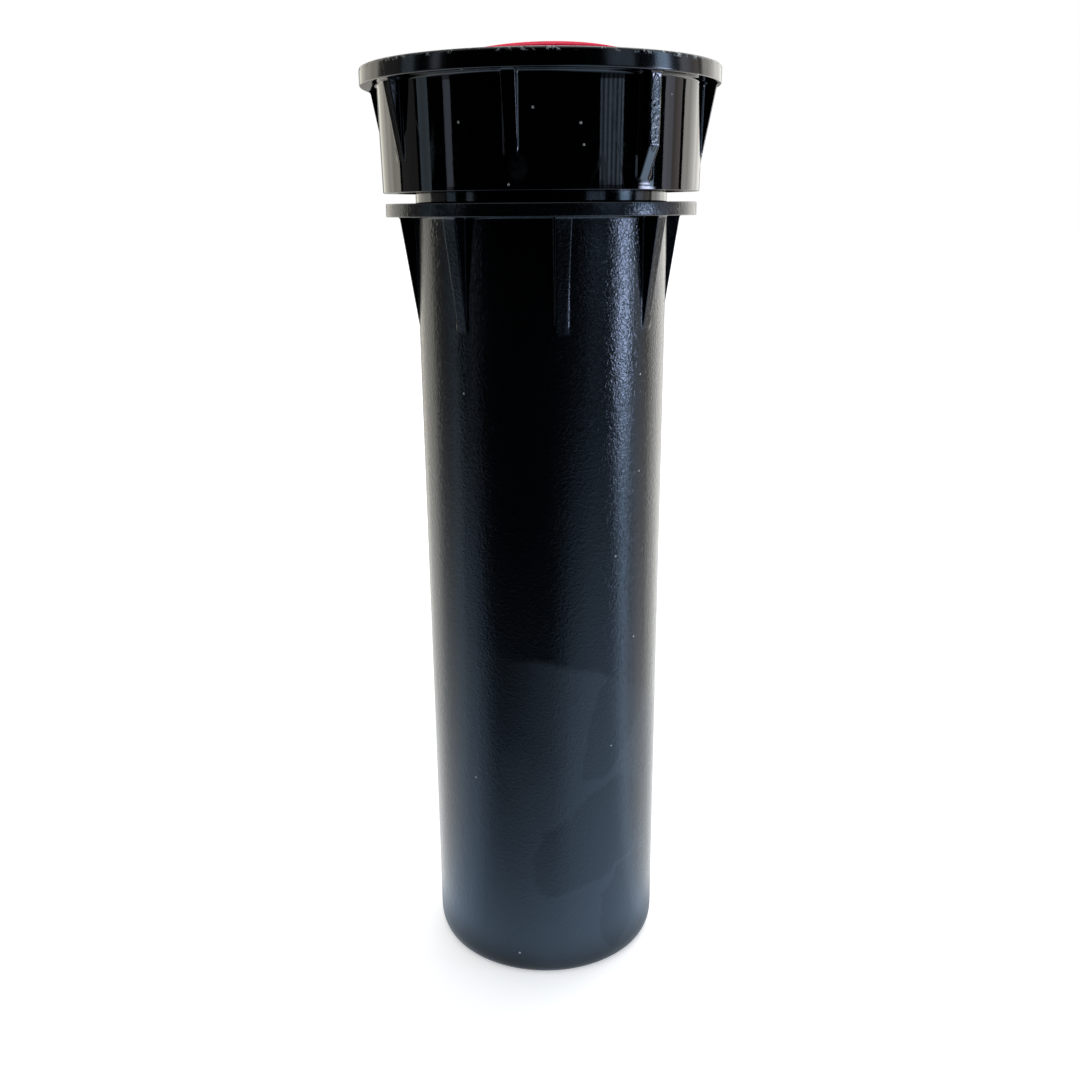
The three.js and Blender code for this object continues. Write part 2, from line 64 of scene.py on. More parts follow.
def extent(node):
    """Outer radius, lowest and highest z of a CAD node, in millimetres."""
    low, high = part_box(node)
    return high.x / MM, low.z / MM, high.z / MM


CASE_FLANGE_R, _, NECK_TOP = extent("case")
CAP_FLANGE_R, CAP_FOOT, CAP_TOP = extent("cap")
COVER_R, COVER_FOOT, COVER_APEX = extent("cover")
_, RISER_FOOT, RISER_TOP = extent("riser")
_, WIPER_FOOT, WIPER_TOP = extent("wiper_seal")
_, SEAT_FOOT, SEAT_TOP = extent("spring_seat")
_, SPRING_FOOT, SPRING_TOP = extent("retract_spring")
TURRET_R, TURRET_FOOT, TURRET_TOP = extent("turret")

SMOOTH_ANGLE = math.radians(32)
WELD = 1e-7  # metres


# ---- mesh helpers ----


def on_circle(radius, azimuth, z):
    """The point at a radius, azimuth and height."""
    angle = math.radians(azimuth)
    return (radius * math.sin(angle), -radius * math.cos(angle), z)


def grid(rows, wrap_rows=True, wrap_columns=True):
    """Vertices and quads of a grid of points, closed on itself in either way."""
    count, width = len(rows), len(rows[0])
    verts = [p for row in rows for p in row]
    faces = []
    for i in range(count if wrap_rows else count - 1):
        for j in range(width if wrap_columns else width - 1):
            a, b = i * width, ((i + 1) % count) * width
            k = (j + 1) % width
            faces.append((a + j, a + k, b + k, b + j))
    return verts, faces


def joined_mesh(name, shells):
    """One mesh, in metres, of one or more closed shells in millimetres."""
    verts, faces = [], []
    for shell_verts, shell_faces in shells:
        base = len(verts)
        verts += [tuple(c * MM for c in v) for v in shell_verts]
        faces += [tuple(base + i for i in f) for f in shell_faces]
    mesh = bpy.data.meshes.new(name)
    mesh.from_pydata(verts, [], faces)
    welded = bmesh.new()
    welded.from_mesh(mesh)
    bmesh.ops.remove_doubles(welded, verts=welded.verts, dist=WELD)
    bmesh.ops.recalc_face_normals(welded, faces=welded.faces)
    welded.to_mesh(mesh)
    welded.free()
    return mesh


def placed(name, data):
    """A new object in the scene, holding a mesh, a light or a camera."""
    obj = bpy.data.objects.new(name, data)
    bpy.context.scene.collection.objects.link(obj)
    return obj


def piece(name, shells, material, body, replaces=()):
    """One object of one or more closed shells, riding on a CAD body."""
    mesh = joined_mesh(name, shells)
    mesh.polygons.foreach_set("use_smooth", [True] * len(mesh.polygons))
    mesh.set_sharp_from_angle(angle=SMOOTH_ANGLE)
    mesh.materials.append(material)
    obj = placed(name, mesh)
    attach(obj, body)
    if replaces:
        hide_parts(*replaces)
    return obj


def rounded(profile):
    """A closed (radius, z, corner radius) outline with its corners rounded off."""
    steps = 5
    points = []
    count = len(profile)
    for i, (r, z, fillet) in enumerate(profile):
        here = Vector((r, z))
        if fillet <= 0:
            points.append((r, z))
            continue
        back = Vector(profile[i - 1][:2]) - here
        ahead = Vector(profile[(i + 1) % count][:2]) - here
        reach = min(fillet, 0.49 * back.length, 0.49 * ahead.length)
        start = here + back.normalized() * reach
        end = here + ahead.normalized() * reach
        for k in range(steps + 1):
            t = k / steps
            p = start * (1 - t) ** 2 + here * 2 * t * (1 - t) + end * t**2
            points.append((p.x, p.y))
    return points


def lathe(profile, columns=192):
    """A closed (radius, z) outline turned about Z."""
    rows = []
    for j in range(columns):
        azimuth = 360 * j / columns
        rows.append([on_circle(r, azimuth, z) for r, z in profile])
    return grid(rows)


def turned(profile, columns=192):
    """A closed (radius, z, corner radius) outline turned about Z."""
    return lathe(rounded(profile), columns)


def shell_of(made, unit):
    """Vertices and faces of a bmesh, in units of so many metres, and frees it."""
    made.verts.index_update()
    verts = [tuple(vert.co / unit) for vert in made.verts]
    faces = [tuple(vert.index for vert in face.verts) for face in made.faces]
    made.free()
    return verts, faces


def box_shell(size, centre, azimuth=0.0, bevel=0.0):
    """A box with bevelled edges, its depth along the radius at an azimuth."""
    made = bmesh.new()
    bmesh.ops.create_cube(made, size=1.0)
    bmesh.ops.scale(made, vec=size, verts=made.verts)
    if bevel > 0:
        bmesh.ops.bevel(
            made, geom=made.edges[:], offset=bevel, segments=3, affect="EDGES", profile=0.5
        )
    turn = Matrix.Rotation(math.radians(azimuth), 4, "Z")
    bmesh.ops.transform(made, matrix=turn @ Matrix.Translation(centre), verts=made.verts)
    return shell_of(made, 1)


def helix_ridge(root_r, crest_r, z0, z1, pitch, root_w, crest_w, start=0.0, taper=0.0):
    """A thread: a blunt ridge swept up a helix, running out to nothing at its ends."""
    turns = (z1 - z0) / pitch
    steps = int(turns * 72)
    rows = []
    for i in range(steps + 1):
        t = i / steps
        azimuth = start + 360 * turns * t
        z = z0 + (z1 - z0) * t
        run_out = min(1.0, 6 * t, 6 * (1 - t))
        root = root_r + taper * (z - z0)
        crest = root + (crest_r - root_r) * run_out
        section = [
            (root, z - root_w / 2),
            (crest, z - crest_w / 2),
            (crest, z + crest_w / 2),
            (root, z + root_w / 2),
        ]
        rows.append([on_circle(r, azimuth, h) for r, h in section])
    verts, faces = grid(rows, wrap_rows=False)
    last = len(verts) - 4
    faces += [(0, 1, 2, 3), (last, last + 3, last + 2, last + 1)]
    return verts, faces


# ---- ribbed rings: cap and case ----

ROOT_FILLET = 0.32
CROWN = 0.16
MARGIN = 4.2  # degrees from a rib's middle to the first column of plain wall
REST_R = 25.0  # radius at which a rib's columns go on over the rest of the ring

# Columns over a rib's side: 0 on its crown and 1 in its root, and mm past the side face.
SIDE_STEPS = [(0.0, mm) for mm in (-0.40, -CROWN, -0.10, -0.05, -0.015, 0.0)]
SIDE_STEPS += [(1.0, mm) for mm in (0.0, 0.05, 0.12, 0.21, ROOT_FILLET)]


def rib_lift(side, offset, height):
    """How far a ribbed wall stands out, offset mm past the rib's side face."""
    if side > 0:
        reach = ROOT_FILLET - offset
        lift = ROOT_FILLET - math.sqrt(max(ROOT_FILLET**2 - reach**2, 0.0))
    else:
        fall = max(offset + CROWN, 0.0)
        lift = height - CROWN + math.sqrt(max(CROWN**2 - fall**2, 0.0))
    return max(min(lift, height), 0.0)


def rib_columns(centres, filler):
    """Columns round a ribbed ring: (azimuth, rib index or None, side, offset, sign)."""
    columns = []
    for index, centre in enumerate(centres):
        for side, offset in reversed(SIDE_STEPS):
            columns.append((centre, index, side, offset, -1))
        columns.append((centre, index, 0.0, -9.0, 0))
        for side, offset in SIDE_STEPS:
            columns.append((centre, index, side, offset, 1))
        ahead = (centres + [centres[0] + 360])[index + 1]
        gap = ahead - centre
        between = int((gap - 2 * MARGIN) / filler)
        for k in range(between + 1):
            azimuth = centre + MARGIN + (gap - 2 * MARGIN) * k / between
            columns.append((azimuth, None, 1.0, 9.0, 0))
    return columns


def ribbed_ring(columns, wall, rest, half_at, height_at, wall_r_at):
    """A turned ring whose outer wall carries ribs.

    wall is the list of wall heights and their fillet overhang, rest the other
    points of the closed outline, half_at and height_at give a rib's half
    thickness and height at a z, and wall_r_at the bare wall's radius.
    """
    rows = []
    for centre, index, side, offset, sign in columns:
        row = []
        for z, overhang in wall:
            bare = wall_r_at(z)
            azimuth, lift = centre, 0.0
            if index is not None:
                reach = 0.0 if sign == 0 else half_at(z) + offset
                azimuth = centre + sign * math.degrees(reach / bare)
                lift = rib_lift(side, offset, height_at(index, z))
            flat = 1 / math.cos(math.radians(azimuth - centre)) if lift > 0 else 1
            row.append(on_circle((bare + lift) * flat + overhang, azimuth, z))
        azimuth = centre
        if index is not None and sign:
            azimuth = centre + sign * math.degrees((half_at(wall[-1][0]) + offset) / REST_R)
        row += [on_circle(r, azimuth, z) for r, z in rest]
        rows.append(row)
    return grid(rows)


def ramp(z, low, high):
    """0 below low, 1 above high, and a straight rise between them."""
    return min(max((z - low) / (high - low), 0.0), 1.0)


def under_flange(top, fillet):
    """Wall heights that curve out under a flange, with their overhang."""
    rows = []
    for k in range(6):
        rise = fillet * math.sin(math.radians(18 * k))
        rows.append((top - fillet + rise, fillet - math.sqrt(max(fillet**2 - rise**2, 0.0))))
    return rows


# ---- cap ----

CAP_RIB_TOP = CAP_TOP - 2.6
CAP_RIB_HEIGHT = 1.95
CAP_RIB_CENTRES = [-9.5 + 45 * k for k in range(8)]
INDEX_RIB = 1
CAP_HOLE_R = 14.3
CAP_THREAD_R = 22.5
THREAD_PITCH = 3.0
THREAD_FOOT_W = 1.9
THREAD_CREST_W = 0.5


def cap_wall_r(z):
    return 25.07 + 0.33 * ramp(z, CAP_FOOT, CAP_RIB_TOP)


def cap_rib_height(index, z):
    if index == INDEX_RIB:
        return (CAP_RIB_HEIGHT + 0.1) * ramp(z, CAP_TOP - 16.9, CAP_TOP - 12.4)
    return CAP_RIB_HEIGHT * ramp(z, CAP_TOP - 14.0, CAP_RIB_TOP)


def cap_rib_half(z):
    return 0.9 + 0.07 * ramp(z, CAP_TOP - 16, CAP_RIB_TOP)


def make_cap(material):
    """The screw cap: ribbed skirt, wide flange, opening for the riser, inner thread."""
    wall = [(CAP_FOOT + 0.25, 0.0), (CAP_FOOT + 0.7, 0.0)]
    drops = (16.9, 16.6, 16.2, 15.0, 14.1, 13.9, 13.4, 12.6, 12.4, 12.1, 10.0, 8.0, 6.0, 4.6)
    wall += [(CAP_TOP - drop, 0.0) for drop in drops]
    wall += under_flange(CAP_RIB_TOP, 0.45)
    flange = [
        (CAP_FLANGE_R - 0.9, CAP_RIB_TOP, 0),
        (CAP_FLANGE_R, CAP_RIB_TOP, 0.32),
        (CAP_FLANGE_R, CAP_TOP, 0.42),
        (CAP_HOLE_R + 1.5, CAP_TOP, 0.15),
        (CAP_HOLE_R + 1.3, CAP_TOP - 0.35, 0.15),
        (CAP_HOLE_R, CAP_TOP - 0.35, 0.25),
        (CAP_HOLE_R, CAP_RIB_TOP, 0.2),
        (CAP_THREAD_R, CAP_RIB_TOP, 0.4),
        (CAP_THREAD_R, CAP_FOOT + 1.3, 0.3),
        (CAP_THREAD_R + 0.6, CAP_FOOT, 0.15),
        (cap_wall_r(CAP_FOOT), CAP_FOOT, 0.25),
        (cap_wall_r(CAP_FOOT), CAP_FOOT + 0.26, 0),
    ]
    columns = rib_columns(CAP_RIB_CENTRES, 2.4)
    shell = ribbed_ring(columns, wall, rounded(flange)[:-1], cap_rib_half, cap_rib_height, cap_wall_r)
    section = (THREAD_PITCH, THREAD_FOOT_W, THREAD_CREST_W)
    span = (CAP_FOOT + 2.8, CAP_TOP - 6.4)
    thread = helix_ridge(CAP_THREAD_R + 0.1, CAP_THREAD_R - 1.5, *span, *section, start=180.0)
    piece("cap_fine", [shell, thread], material, "case", ["cap"])


# ---- case ----

CASE_FLANGE_Z = 128.2
CASE_FLANGE_TOP = 130.2
GUSSET_FOOT = 111.3
GUSSET_CENTRES = [8 + 45 * k for k in range(8)]
CASE_R = 20.0
NECK_R = 20.0
BOSS_R = 13.0
FOOT_R = 18.6
FOOT_DROP = 3.0
PIPE_PITCH = 1.814
PIPE_SLOPE = -0.047


def case_wall_r(z):
    return 19.8 + 0.35 * ramp(z, 0, CASE_FLANGE_Z)


def gusset_height(_, z):
    return 2.5 * ramp(z, GUSSET_FOOT, CASE_FLANGE_Z)


def gusset_half(z):
    return 0.92 + 0.2 * ramp(z, GUSSET_FOOT, CASE_FLANGE_Z)


def inlet_socket():
    """The inner outline of the base: boss, water way and tapered socket."""
    return [
        (17.7, 6.4, 1.2),
        (16.2, 5.0, 0.4),
        (BOSS_R, 5.0, 0.5),
        (BOSS_R, 15.0, 0.4),
        (7.5, 15.0, 0.5),
        (7.5, 14.0, 0.2),
        (9.75, 14.0, 0.2),
        (10.35, 1.0, 0.2),
        (10.8, 0.0, 0.15),
        (BOSS_R - 0.1, 0.0, 0.3),
        (BOSS_R + 0.1, 2.6, 0.5),
        (16.55, 2.6, 0.5),
        (16.75, 0.0, 0.25),
    ]


def make_case(material):
    """The case, with gussets under its collar, a threaded neck and ribs inside."""
    wall = [(z, 0.0) for z in (4, *range(12, 97, 12), 106)]
    wall += [(GUSSET_FOOT + rise, 0.0) for rise in (-0.4, 0, 0.4, 1.3, 2.3, 4.7, 7.7, 10.7, 13.7)]
    wall += under_flange(CASE_FLANGE_Z, 0.4)
    neck = [
        (CASE_FLANGE_R - 0.6, CASE_FLANGE_Z, 0),
        (CASE_FLANGE_R, CASE_FLANGE_Z, 0.22),
        (CASE_FLANGE_R, CASE_FLANGE_TOP, 0.25),
        (NECK_R, CASE_FLANGE_TOP, 0.3),
        (NECK_R, CASE_FLANGE_TOP + 2.6, 0.3),
        (NECK_R + 0.4, CASE_FLANGE_TOP + 3.2, 0.3),
        (NECK_R + 0.4, NECK_TOP, 0.4),
        (18.0, NECK_TOP, 0.4),
        (17.75, NECK_TOP - 1.0, 0.4),
    ]
    rest = rounded(neck + inlet_socket())
    for step in range(7):
        turn = math.radians(15 * step)
        rest.append((FOOT_R + 1.2 * math.sin(turn), FOOT_DROP * (1 - math.cos(turn))))
    columns = rib_columns(GUSSET_CENTRES, 2.8)
    shell = ribbed_ring(columns, wall, rest, gusset_half, gusset_height, case_wall_r)
    section = (THREAD_PITCH, THREAD_FOOT_W, THREAD_CREST_W)
    span = (CASE_FLANGE_TOP + 3.6, NECK_TOP - 3.2)
    neck_thread = helix_ridge(NECK_R + 0.3, NECK_R + 1.6, *span, *section)
    socket_thread = helix_ridge(10.4, 9.75, 1.4, 12.6, PIPE_PITCH, 1.5, 0.25, taper=PIPE_SLOPE)
    webs = [
        box_shell((1.4, 4.6, 2.0), (0, -14.7, 1.85), azimuth=45 * k, bevel=0.12)
        for k in range(8)
    ]
    guides = [
        box_shell((1.6, 1.1, 118), (0, -17.5, 74), azimuth=45 + 90 * k, bevel=0.15)
        for k in range(4)
    ]
    shells = [shell, neck_thread, socket_thread, *webs, *guides]
    piece("case_fine", shells, material, "case", ["case"])


# ---- seals, seat and spring ----


def square_ring(node, inner, fillet, outer_foot=None):
    """A ring of a node's own height and outer radius, with its corners rounded off."""
    outer, low, high = extent(node)
    outline = [
        (inner, low, fillet),
        (outer, low, outer_foot or fillet),
        (outer, high, fillet),
        (inner, high, fillet),
    ]
    return turned(outline)


def make_seals(rubber):
    """The lipped wiper round the riser, and the gasket under the cap."""
    wiper = [
        (14.75, WIPER_FOOT, 0.3),
        (17.5, WIPER_FOOT, 0.3),
        (17.5, WIPER_TOP - 2.3, 0.2),
        (14.1, WIPER_TOP - 2.3, 0.1),
        (14.1, WIPER_TOP - 0.2, 0.12),
        (13.85, WIPER_TOP, 0.1),
        (13.75, WIPER_TOP - 0.4, 0.1),
        (13.75, WIPER_TOP - 3.4, 0.3),
    ]
    piece("wiper_fine", [turned(wiper)], rubber, "case", ["wiper_seal"])
    gasket = square_ring("cap_seal", 18.3, 0.4)
    piece("gasket_fine", [gasket], rubber, "case", ["cap_seal"])


def make_spring_seat(material):
    """The ring with a raised edge on which the spring bears at the top."""
    outline = [
        (14.0, SEAT_FOOT, 0.25),
        (17.4, SEAT_FOOT, 0.25),
        (17.4, SEAT_TOP, 0.25),
        (16.4, SEAT_TOP, 0.2),
        (16.4, SEAT_FOOT + 1.6, 0.3),
        (14.0, SEAT_FOOT + 1.6, 0.25),
    ]
    piece("spring_seat_fine", [turned(outline)], material, "case", ["spring_seat"])


def make_spring(material):
    """Nine turns of round wire with closed ends, built at one length; in the real sprinkler they
    close up as the riser rises.
    """
    wire, turns, mean, sides = 0.65, 9.0, 15.5, 10
    low, high = SPRING_FOOT + wire, SPRING_TOP - wire
    steps = int(turns * 60)
    rows = []
    for i in range(steps + 1):
        t = i / steps
        azimuth = 360 * turns * t
        dead = 1.0 / turns
        climb = ramp(t, dead, 1 - dead)
        z = low + (high - low) * (0.02 * t + 0.98 * climb)
        row = []
        for k in range(sides):
            turn = 2 * math.pi * k / sides
            rise = wire * math.sin(turn)
            row.append(on_circle(mean + wire * math.cos(turn), azimuth, z + rise))
        rows.append(row)
    verts, faces = grid(rows, wrap_rows=False)
    last = len(verts) - sides
    faces += [tuple(range(sides)), tuple(reversed(range(last, last + sides)))]
    coil = [(verts, faces)]
    spring = piece("spring_fine", coil, material, "case", ["retract_spring"])
    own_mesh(spring)


# ---- riser and turret ----

NOZZLE_HEIGHT = 139.5
NOZZLE_TILT = 20.0
PORT_R = 3.6
SCREW_HOLE_R = 1.75
RADIUS_HOLE = (0.0, -8.4)
ARC_HOLE = (9.0, 0.0)
FLUTES = 20
TURRET_CEILING = 147.6


def make_riser(material):
    """A smooth tube with a flanged foot."""
    outline = [
        (12.2, RISER_FOOT, 0.3),
        (16.6, RISER_FOOT, 0.4),
        (16.6, RISER_FOOT + 1.45, 0.3),
        (13.5, RISER_FOOT + 1.45, 0.3),
        (13.5, RISER_TOP, 0.6),
        (12.2, RISER_TOP, 0.3),
    ]
    piece("riser_fine", [turned(outline)], material, "riser", ["riser"])


def on_nozzle_axis(shell):
    """Sets a shell turned about Z on the tilted axis of the nozzle."""
    verts, faces = shell
    place = Matrix.Translation((0, 0, NOZZLE_HEIGHT))
    place = place @ Matrix.Rotation(math.radians(90 - NOZZLE_TILT), 4, "X")
    return [tuple(place @ Vector(v)) for v in verts], faces


def bar(radius, z0, z1, x=0.0, y=0.0, columns=64):
    """A solid round bar on an upright axis."""
    rows = []
    for j in range(columns):
        cx, cy, _ = on_circle(radius, 360 * j / columns, 0)
        rows.append([(x, y, z0), (x + cx, y + cy, z0), (x + cx, y + cy, z1), (x, y, z1)])
    return grid(rows, wrap_columns=False)


def carve(obj, shells):
    """Cuts closed shells out of a piece."""
    cutter = placed("cutter", joined_mesh("cutter", shells))
    modifier = obj.modifiers.new("carve", "BOOLEAN")
    modifier.operation = "DIFFERENCE"
    modifier.solver = "EXACT"
    modifier.use_self = True
    modifier.object = cutter
    graph = bpy.context.evaluated_depsgraph_get()
    carved = bpy.data.meshes.new_from_object(obj.evaluated_get(graph))
    obj.modifiers.clear()
    obj.data = carved
    carved.set_sharp_from_angle(angle=SMOOTH_ANGLE)
    bpy.data.objects.remove(cutter)


def fluted(profile, columns=240):
    """A turned outline whose widest part carries shallow grip flutes, bar the front."""
    rows = []
    for j in range(columns):
        azimuth = 360 * j / columns
        away = min(azimuth, 360 - azimuth)
        wave = max(math.cos(math.radians(FLUTES * azimuth)), 0.0)
        dip = 0.28 * wave * ramp(away, 38, 44)
        row = []
        for r, z in profile:
            if r >= TURRET_R - 0.01:
                rise = ramp(z, TURRET_TOP - 13, TURRET_TOP - 11)
                r -= dip * rise * ramp(TURRET_TOP - 1.2 - z, 0, 1.4)
            row.append(on_circle(r, azimuth, z))
        rows.append(row)
    return grid(rows)


def make_turret(material):
    """The head: a fluted cup with a port at the front, its barrel, and a hollow stem."""
    skirt = RISER_TOP + 0.45
    wall = [(TURRET_R, TURRET_TOP - drop, 0) for drop in (14, 13, 12, 11, 8, 5, 3, 2.6, 2, 1.4)]
    outline = [
        (3.8, TURRET_FOOT, 0.2),
        (6.4, TURRET_FOOT, 0.2),
        (6.4, TURRET_FOOT + 1.5, 0.2),
        (5.0, TURRET_FOOT + 1.5, 0.3),
        (5.0, TURRET_CEILING, 0.6),
        (11.8, TURRET_CEILING, 0.6),
        (11.8, skirt, 0.15),
        (TURRET_R, skirt, 0.35),
        *wall,
        (TURRET_R, TURRET_TOP, 0.5),
        (0.4, TURRET_TOP, 0),
        (0.4, 142.0, 0),
        (3.8, 141.6, 0.4),
    ]
    cup = fluted(rounded(outline))
    head = piece("turret_fine", [cup], material, "turret", ["turret"])
    flare = [(0, 11.9), (PORT_R, 11.9), (PORT_R + 1.0, 14.4), (0, 14.4)]
    cutters = [on_nozzle_axis(bar(PORT_R, 0.5, 16.0)), on_nozzle_axis(lathe(flare, 64))]
    for hole in (RADIUS_HOLE, ARC_HOLE):
        cutters.append(bar(SCREW_HOLE_R, 142.0, TURRET_TOP + 1, *hole, columns=32))
    carve(head, cutters)
    near, far, outer = 2.6, 12.3, PORT_R + 1.2
    tube = [(PORT_R, near, 0.1), (outer, near, 0.1), (outer, far, 0.1), (PORT_R, far, 0.1)]
    barrel = on_nozzle_axis(turned(tube, 96))
    sleeve = piece("barrel_fine", [barrel], material, "turret")
    carve(sleeve, [radius_screw_way()])


def radius_screw_way():
    """The hole that the radius screw goes down through barrel and nozzle."""
    return bar(SCREW_HOLE_R, 141.6, TURRET_TOP, *RADIUS_HOLE, columns=32)


def make_nozzle(material):
    """The nozzle insert: a stepped plug with a flared orifice and two side slots."""
    plug = [
        (2.4, 6.2, 0.15),
        (3.5, 6.2, 0.2),
        (3.5, 12.0, 0.25),
        (3.05, 12.4, 0.12),
        (2.75, 12.0, 0.15),
        (2.2, 12.0, 0.15),
        (1.95, 12.4, 0.1),
        (1.3, 11.6, 0.15),
        (1.3, 11.0, 0.1),
        (2.4, 10.6, 0.2),
    ]
    shell = on_nozzle_axis(turned(plug, 96))
    insert = piece("nozzle_fine", [shell], material, "turret", ["nozzle"])
    slots = [
        on_nozzle_axis(box_shell((0.7, 0.9, 3.0), (side * 2.45, 0, 12.6), bevel=0.08))
        for side in (-1, 1)
    ]
    carve(insert, [radius_screw_way(), *slots])


def make_check_seal(material):
    """The ring under the riser's foot that holds water back in the pipe."""
    seal = square_ring("check_seal", 8.6, 0.3, outer_foot=0.5)
    piece("check_seal_fine", [seal], material, "riser", ["check_seal"])


def make_screen(material):
    """The fine mesh between the bars of the inlet screen's cage."""
    _, low, high = extent("inlet_screen")
    foot, top = low + 3.6, high - 3.6
    inner, strand, hoops, strands = 10.1, 0.24, 26, 72
    shells = []
    for k in range(hoops):
        z = foot + (top - foot) * k / (hoops - 1)
        half = strand / 2
        section = [(inner, z - half), (inner + strand, z - half), (inner + strand, z + half)]
        shells.append(lathe([*section, (inner, z + half)], strands))
    size, middle = (strand, strand, top - foot), (0, -inner - strand / 2, (foot + top) / 2)
    shells += [box_shell(size, middle, azimuth=360 * k / strands) for k in range(strands)]
    piece("screen_mesh_fine", shells, material, "riser")


# ---- works ----

# Nodes that have a piece of their own above or below.
REDRAWN = (
    "case", "cap", "cap_seal", "wiper_seal", "spring_seat", "retract_spring",
    "riser", "turret", "nozzle", "check_seal", "cover",
)

# Turned nodes with slots cut in their flats, and how many flats go round them.
SLOTTED = {"inlet_screen": 16, "output_shaft": 16}

# A circle's flat step spans this angle, and its ends are level and as far out as each other.
STEP_ANGLES = (math.radians(5), math.radians(62))
STEP_SLACK = 0.02 * MM
LEVEL_SLACK = 0.01 * MM
SMALLEST_R = 0.3 * MM


def own_axis(node):
    """Where a node's upright axis stands: the Z axis, unless the node is well off it."""
    low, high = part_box(node)
    middle = ((low + high) / 2).to_2d()
    return middle if middle.length > 2 * MM else Vector((0, 0))


def is_arc_step(edge, radius):
    """True for an edge that is one flat step of a circle round the axis."""
    a, b = edge.verts
    if abs(a[radius] - b[radius]) > STEP_SLACK or abs(a.co.z - b.co.z) > LEVEL_SLACK:
        return False
    if a[radius] < SMALLEST_R:
        return False
    step = 2 * math.asin(min((a.co - b.co).length / (2 * a[radius]), 1.0))
    return STEP_ANGLES[0] < step < STEP_ANGLES[1]


def slice_round(made, sides):
    """Rounds a turned shape with slots in its flats, by fine cuts through its axis."""
    half = math.pi / sides
    for k in range(2 * sides):
        angle = 0.5 * half * k
        bmesh.ops.bisect_plane(
            made,
            geom=[*made.verts, *made.edges, *made.faces],
            plane_co=(0, 0, 0),
            plane_no=(math.cos(angle), math.sin(angle), 0),
            dist=WELD,
        )
    for vert in made.verts:
        past_corner = math.atan2(vert.co.y, vert.co.x) % (2 * half)
        vert.co.xy *= math.cos(past_corner - half) / math.cos(half)


def bow_out(made):
    """Bows every flat step of a circle out to the circle."""
    radius = made.verts.layers.float.new("radius")
    for vert in made.verts:
        vert[radius] = vert.co.to_2d().length
    steps = [edge for edge in made.edges if is_arc_step(edge, radius)]
    bmesh.ops.subdivide_edges(made, edges=steps, cuts=3, use_grid_fill=True)
    for vert in made.verts:
        flat = vert.co.to_2d().length
        if flat > 0:
            vert.co.xy *= vert[radius] / flat


def round_off(node):
    """A finer copy of a CAD node, its flat-sided rounds made round."""
    axis = own_axis(node).to_3d()
    made = bmesh.new()
    made.from_mesh(frame["nodes"][node].data)
    bmesh.ops.remove_doubles(made, verts=made.verts, dist=1e-6)
    bmesh.ops.dissolve_limit(
        made, angle_limit=math.radians(0.3), verts=made.verts, edges=made.edges
    )
    bmesh.ops.translate(made, vec=-axis, verts=made.verts)
    if node in SLOTTED:
        slice_round(made, SLOTTED[node])
    else:
        bow_out(made)
    bmesh.ops.translate(made, vec=axis, verts=made.verts)
    return shell_of(made, MM)


def make_works(materials):
    """Fine copies of the inner CAD nodes that no other piece stands for."""
    bodies = frame["record"]["behaviour"]["bodies"]
    body_of = {node: body for body, nodes in bodies.items() for node in nodes}
    for row in frame["record"]["subparts"]:
        node, slot = row["node"], row["material_slot"]
        if node not in REDRAWN:
            piece(f"{node}_fine", [round_off(node)], materials[slot], body_of[node], [node])


# ---- cover ----

COVER_CROWN = 1.35
COVER_EDGE = 0.55
COVER_LEAN = 0.022
COVER_MIDDLE = COVER_APEX - 0.06
PULL_SLOT = (-6.0, 5.0)


def smooth_step(x):
    x = min(max(x, 0.0), 1.0)
    return x * x * (3 - 2 * x)


def pad(distance, reach, soft):
    """1 inside a shape and 0 outside it, over a soft edge."""
    return 1.0 - smooth_step((distance - reach) / soft + 0.5)


def socket_relief(x, y, cx, cy):
    """A shallow cup with a cross slit at its bottom, inside a fine ring groove."""
    dx, dy = x - cx, y - cy
    d = math.hypot(dx, dy)
    relief = -0.12 * pad(abs(d - 2.0), 0.12, 0.2) - 0.5 * pad(d, 1.45, 0.3)
    slit = min(abs(dx + dy), abs(dx - dy)) / math.sqrt(2)
    return relief - 0.35 * pad(slit, 0.09, 0.1) * pad(d, 1.1, 0.2)


def pull_relief(x, y):
    """A keyhole recess for a lifting tool."""
    dx, dy = x - PULL_SLOT[0], y - PULL_SLOT[1]
    round_hole = math.hypot(dx, dy) - 1.3
    slot = max(abs(dx + 1.6) - 1.7, abs(dy) - 0.5)
    return -0.6 * pad(min(round_hole, slot), 0.0, 0.22)


def pointer_relief(x, y):
    """A sunk arrowhead near the rim, over the nozzle."""
    along = -(y + 11.0)
    inside = max(abs(x) - 0.75 * (1.1 - along), -along - 0.1)
    return -0.22 * pad(inside, 0.0, 0.2)


def cover_top(x, y):
    """Height of the dome, which sits a touch higher on its right."""
    r = math.hypot(x, y)
    z = COVER_MIDDLE + COVER_LEAN * x - COVER_CROWN * (r / COVER_R) ** 3
    z -= 0.1 * pad(abs(r - 12.7), 0.1, 0.2)
    for hole in (RADIUS_HOLE, ARC_HOLE):
        z += socket_relief(x, y, *hole)
    return z + pull_relief(x, y) + pointer_relief(x, y)


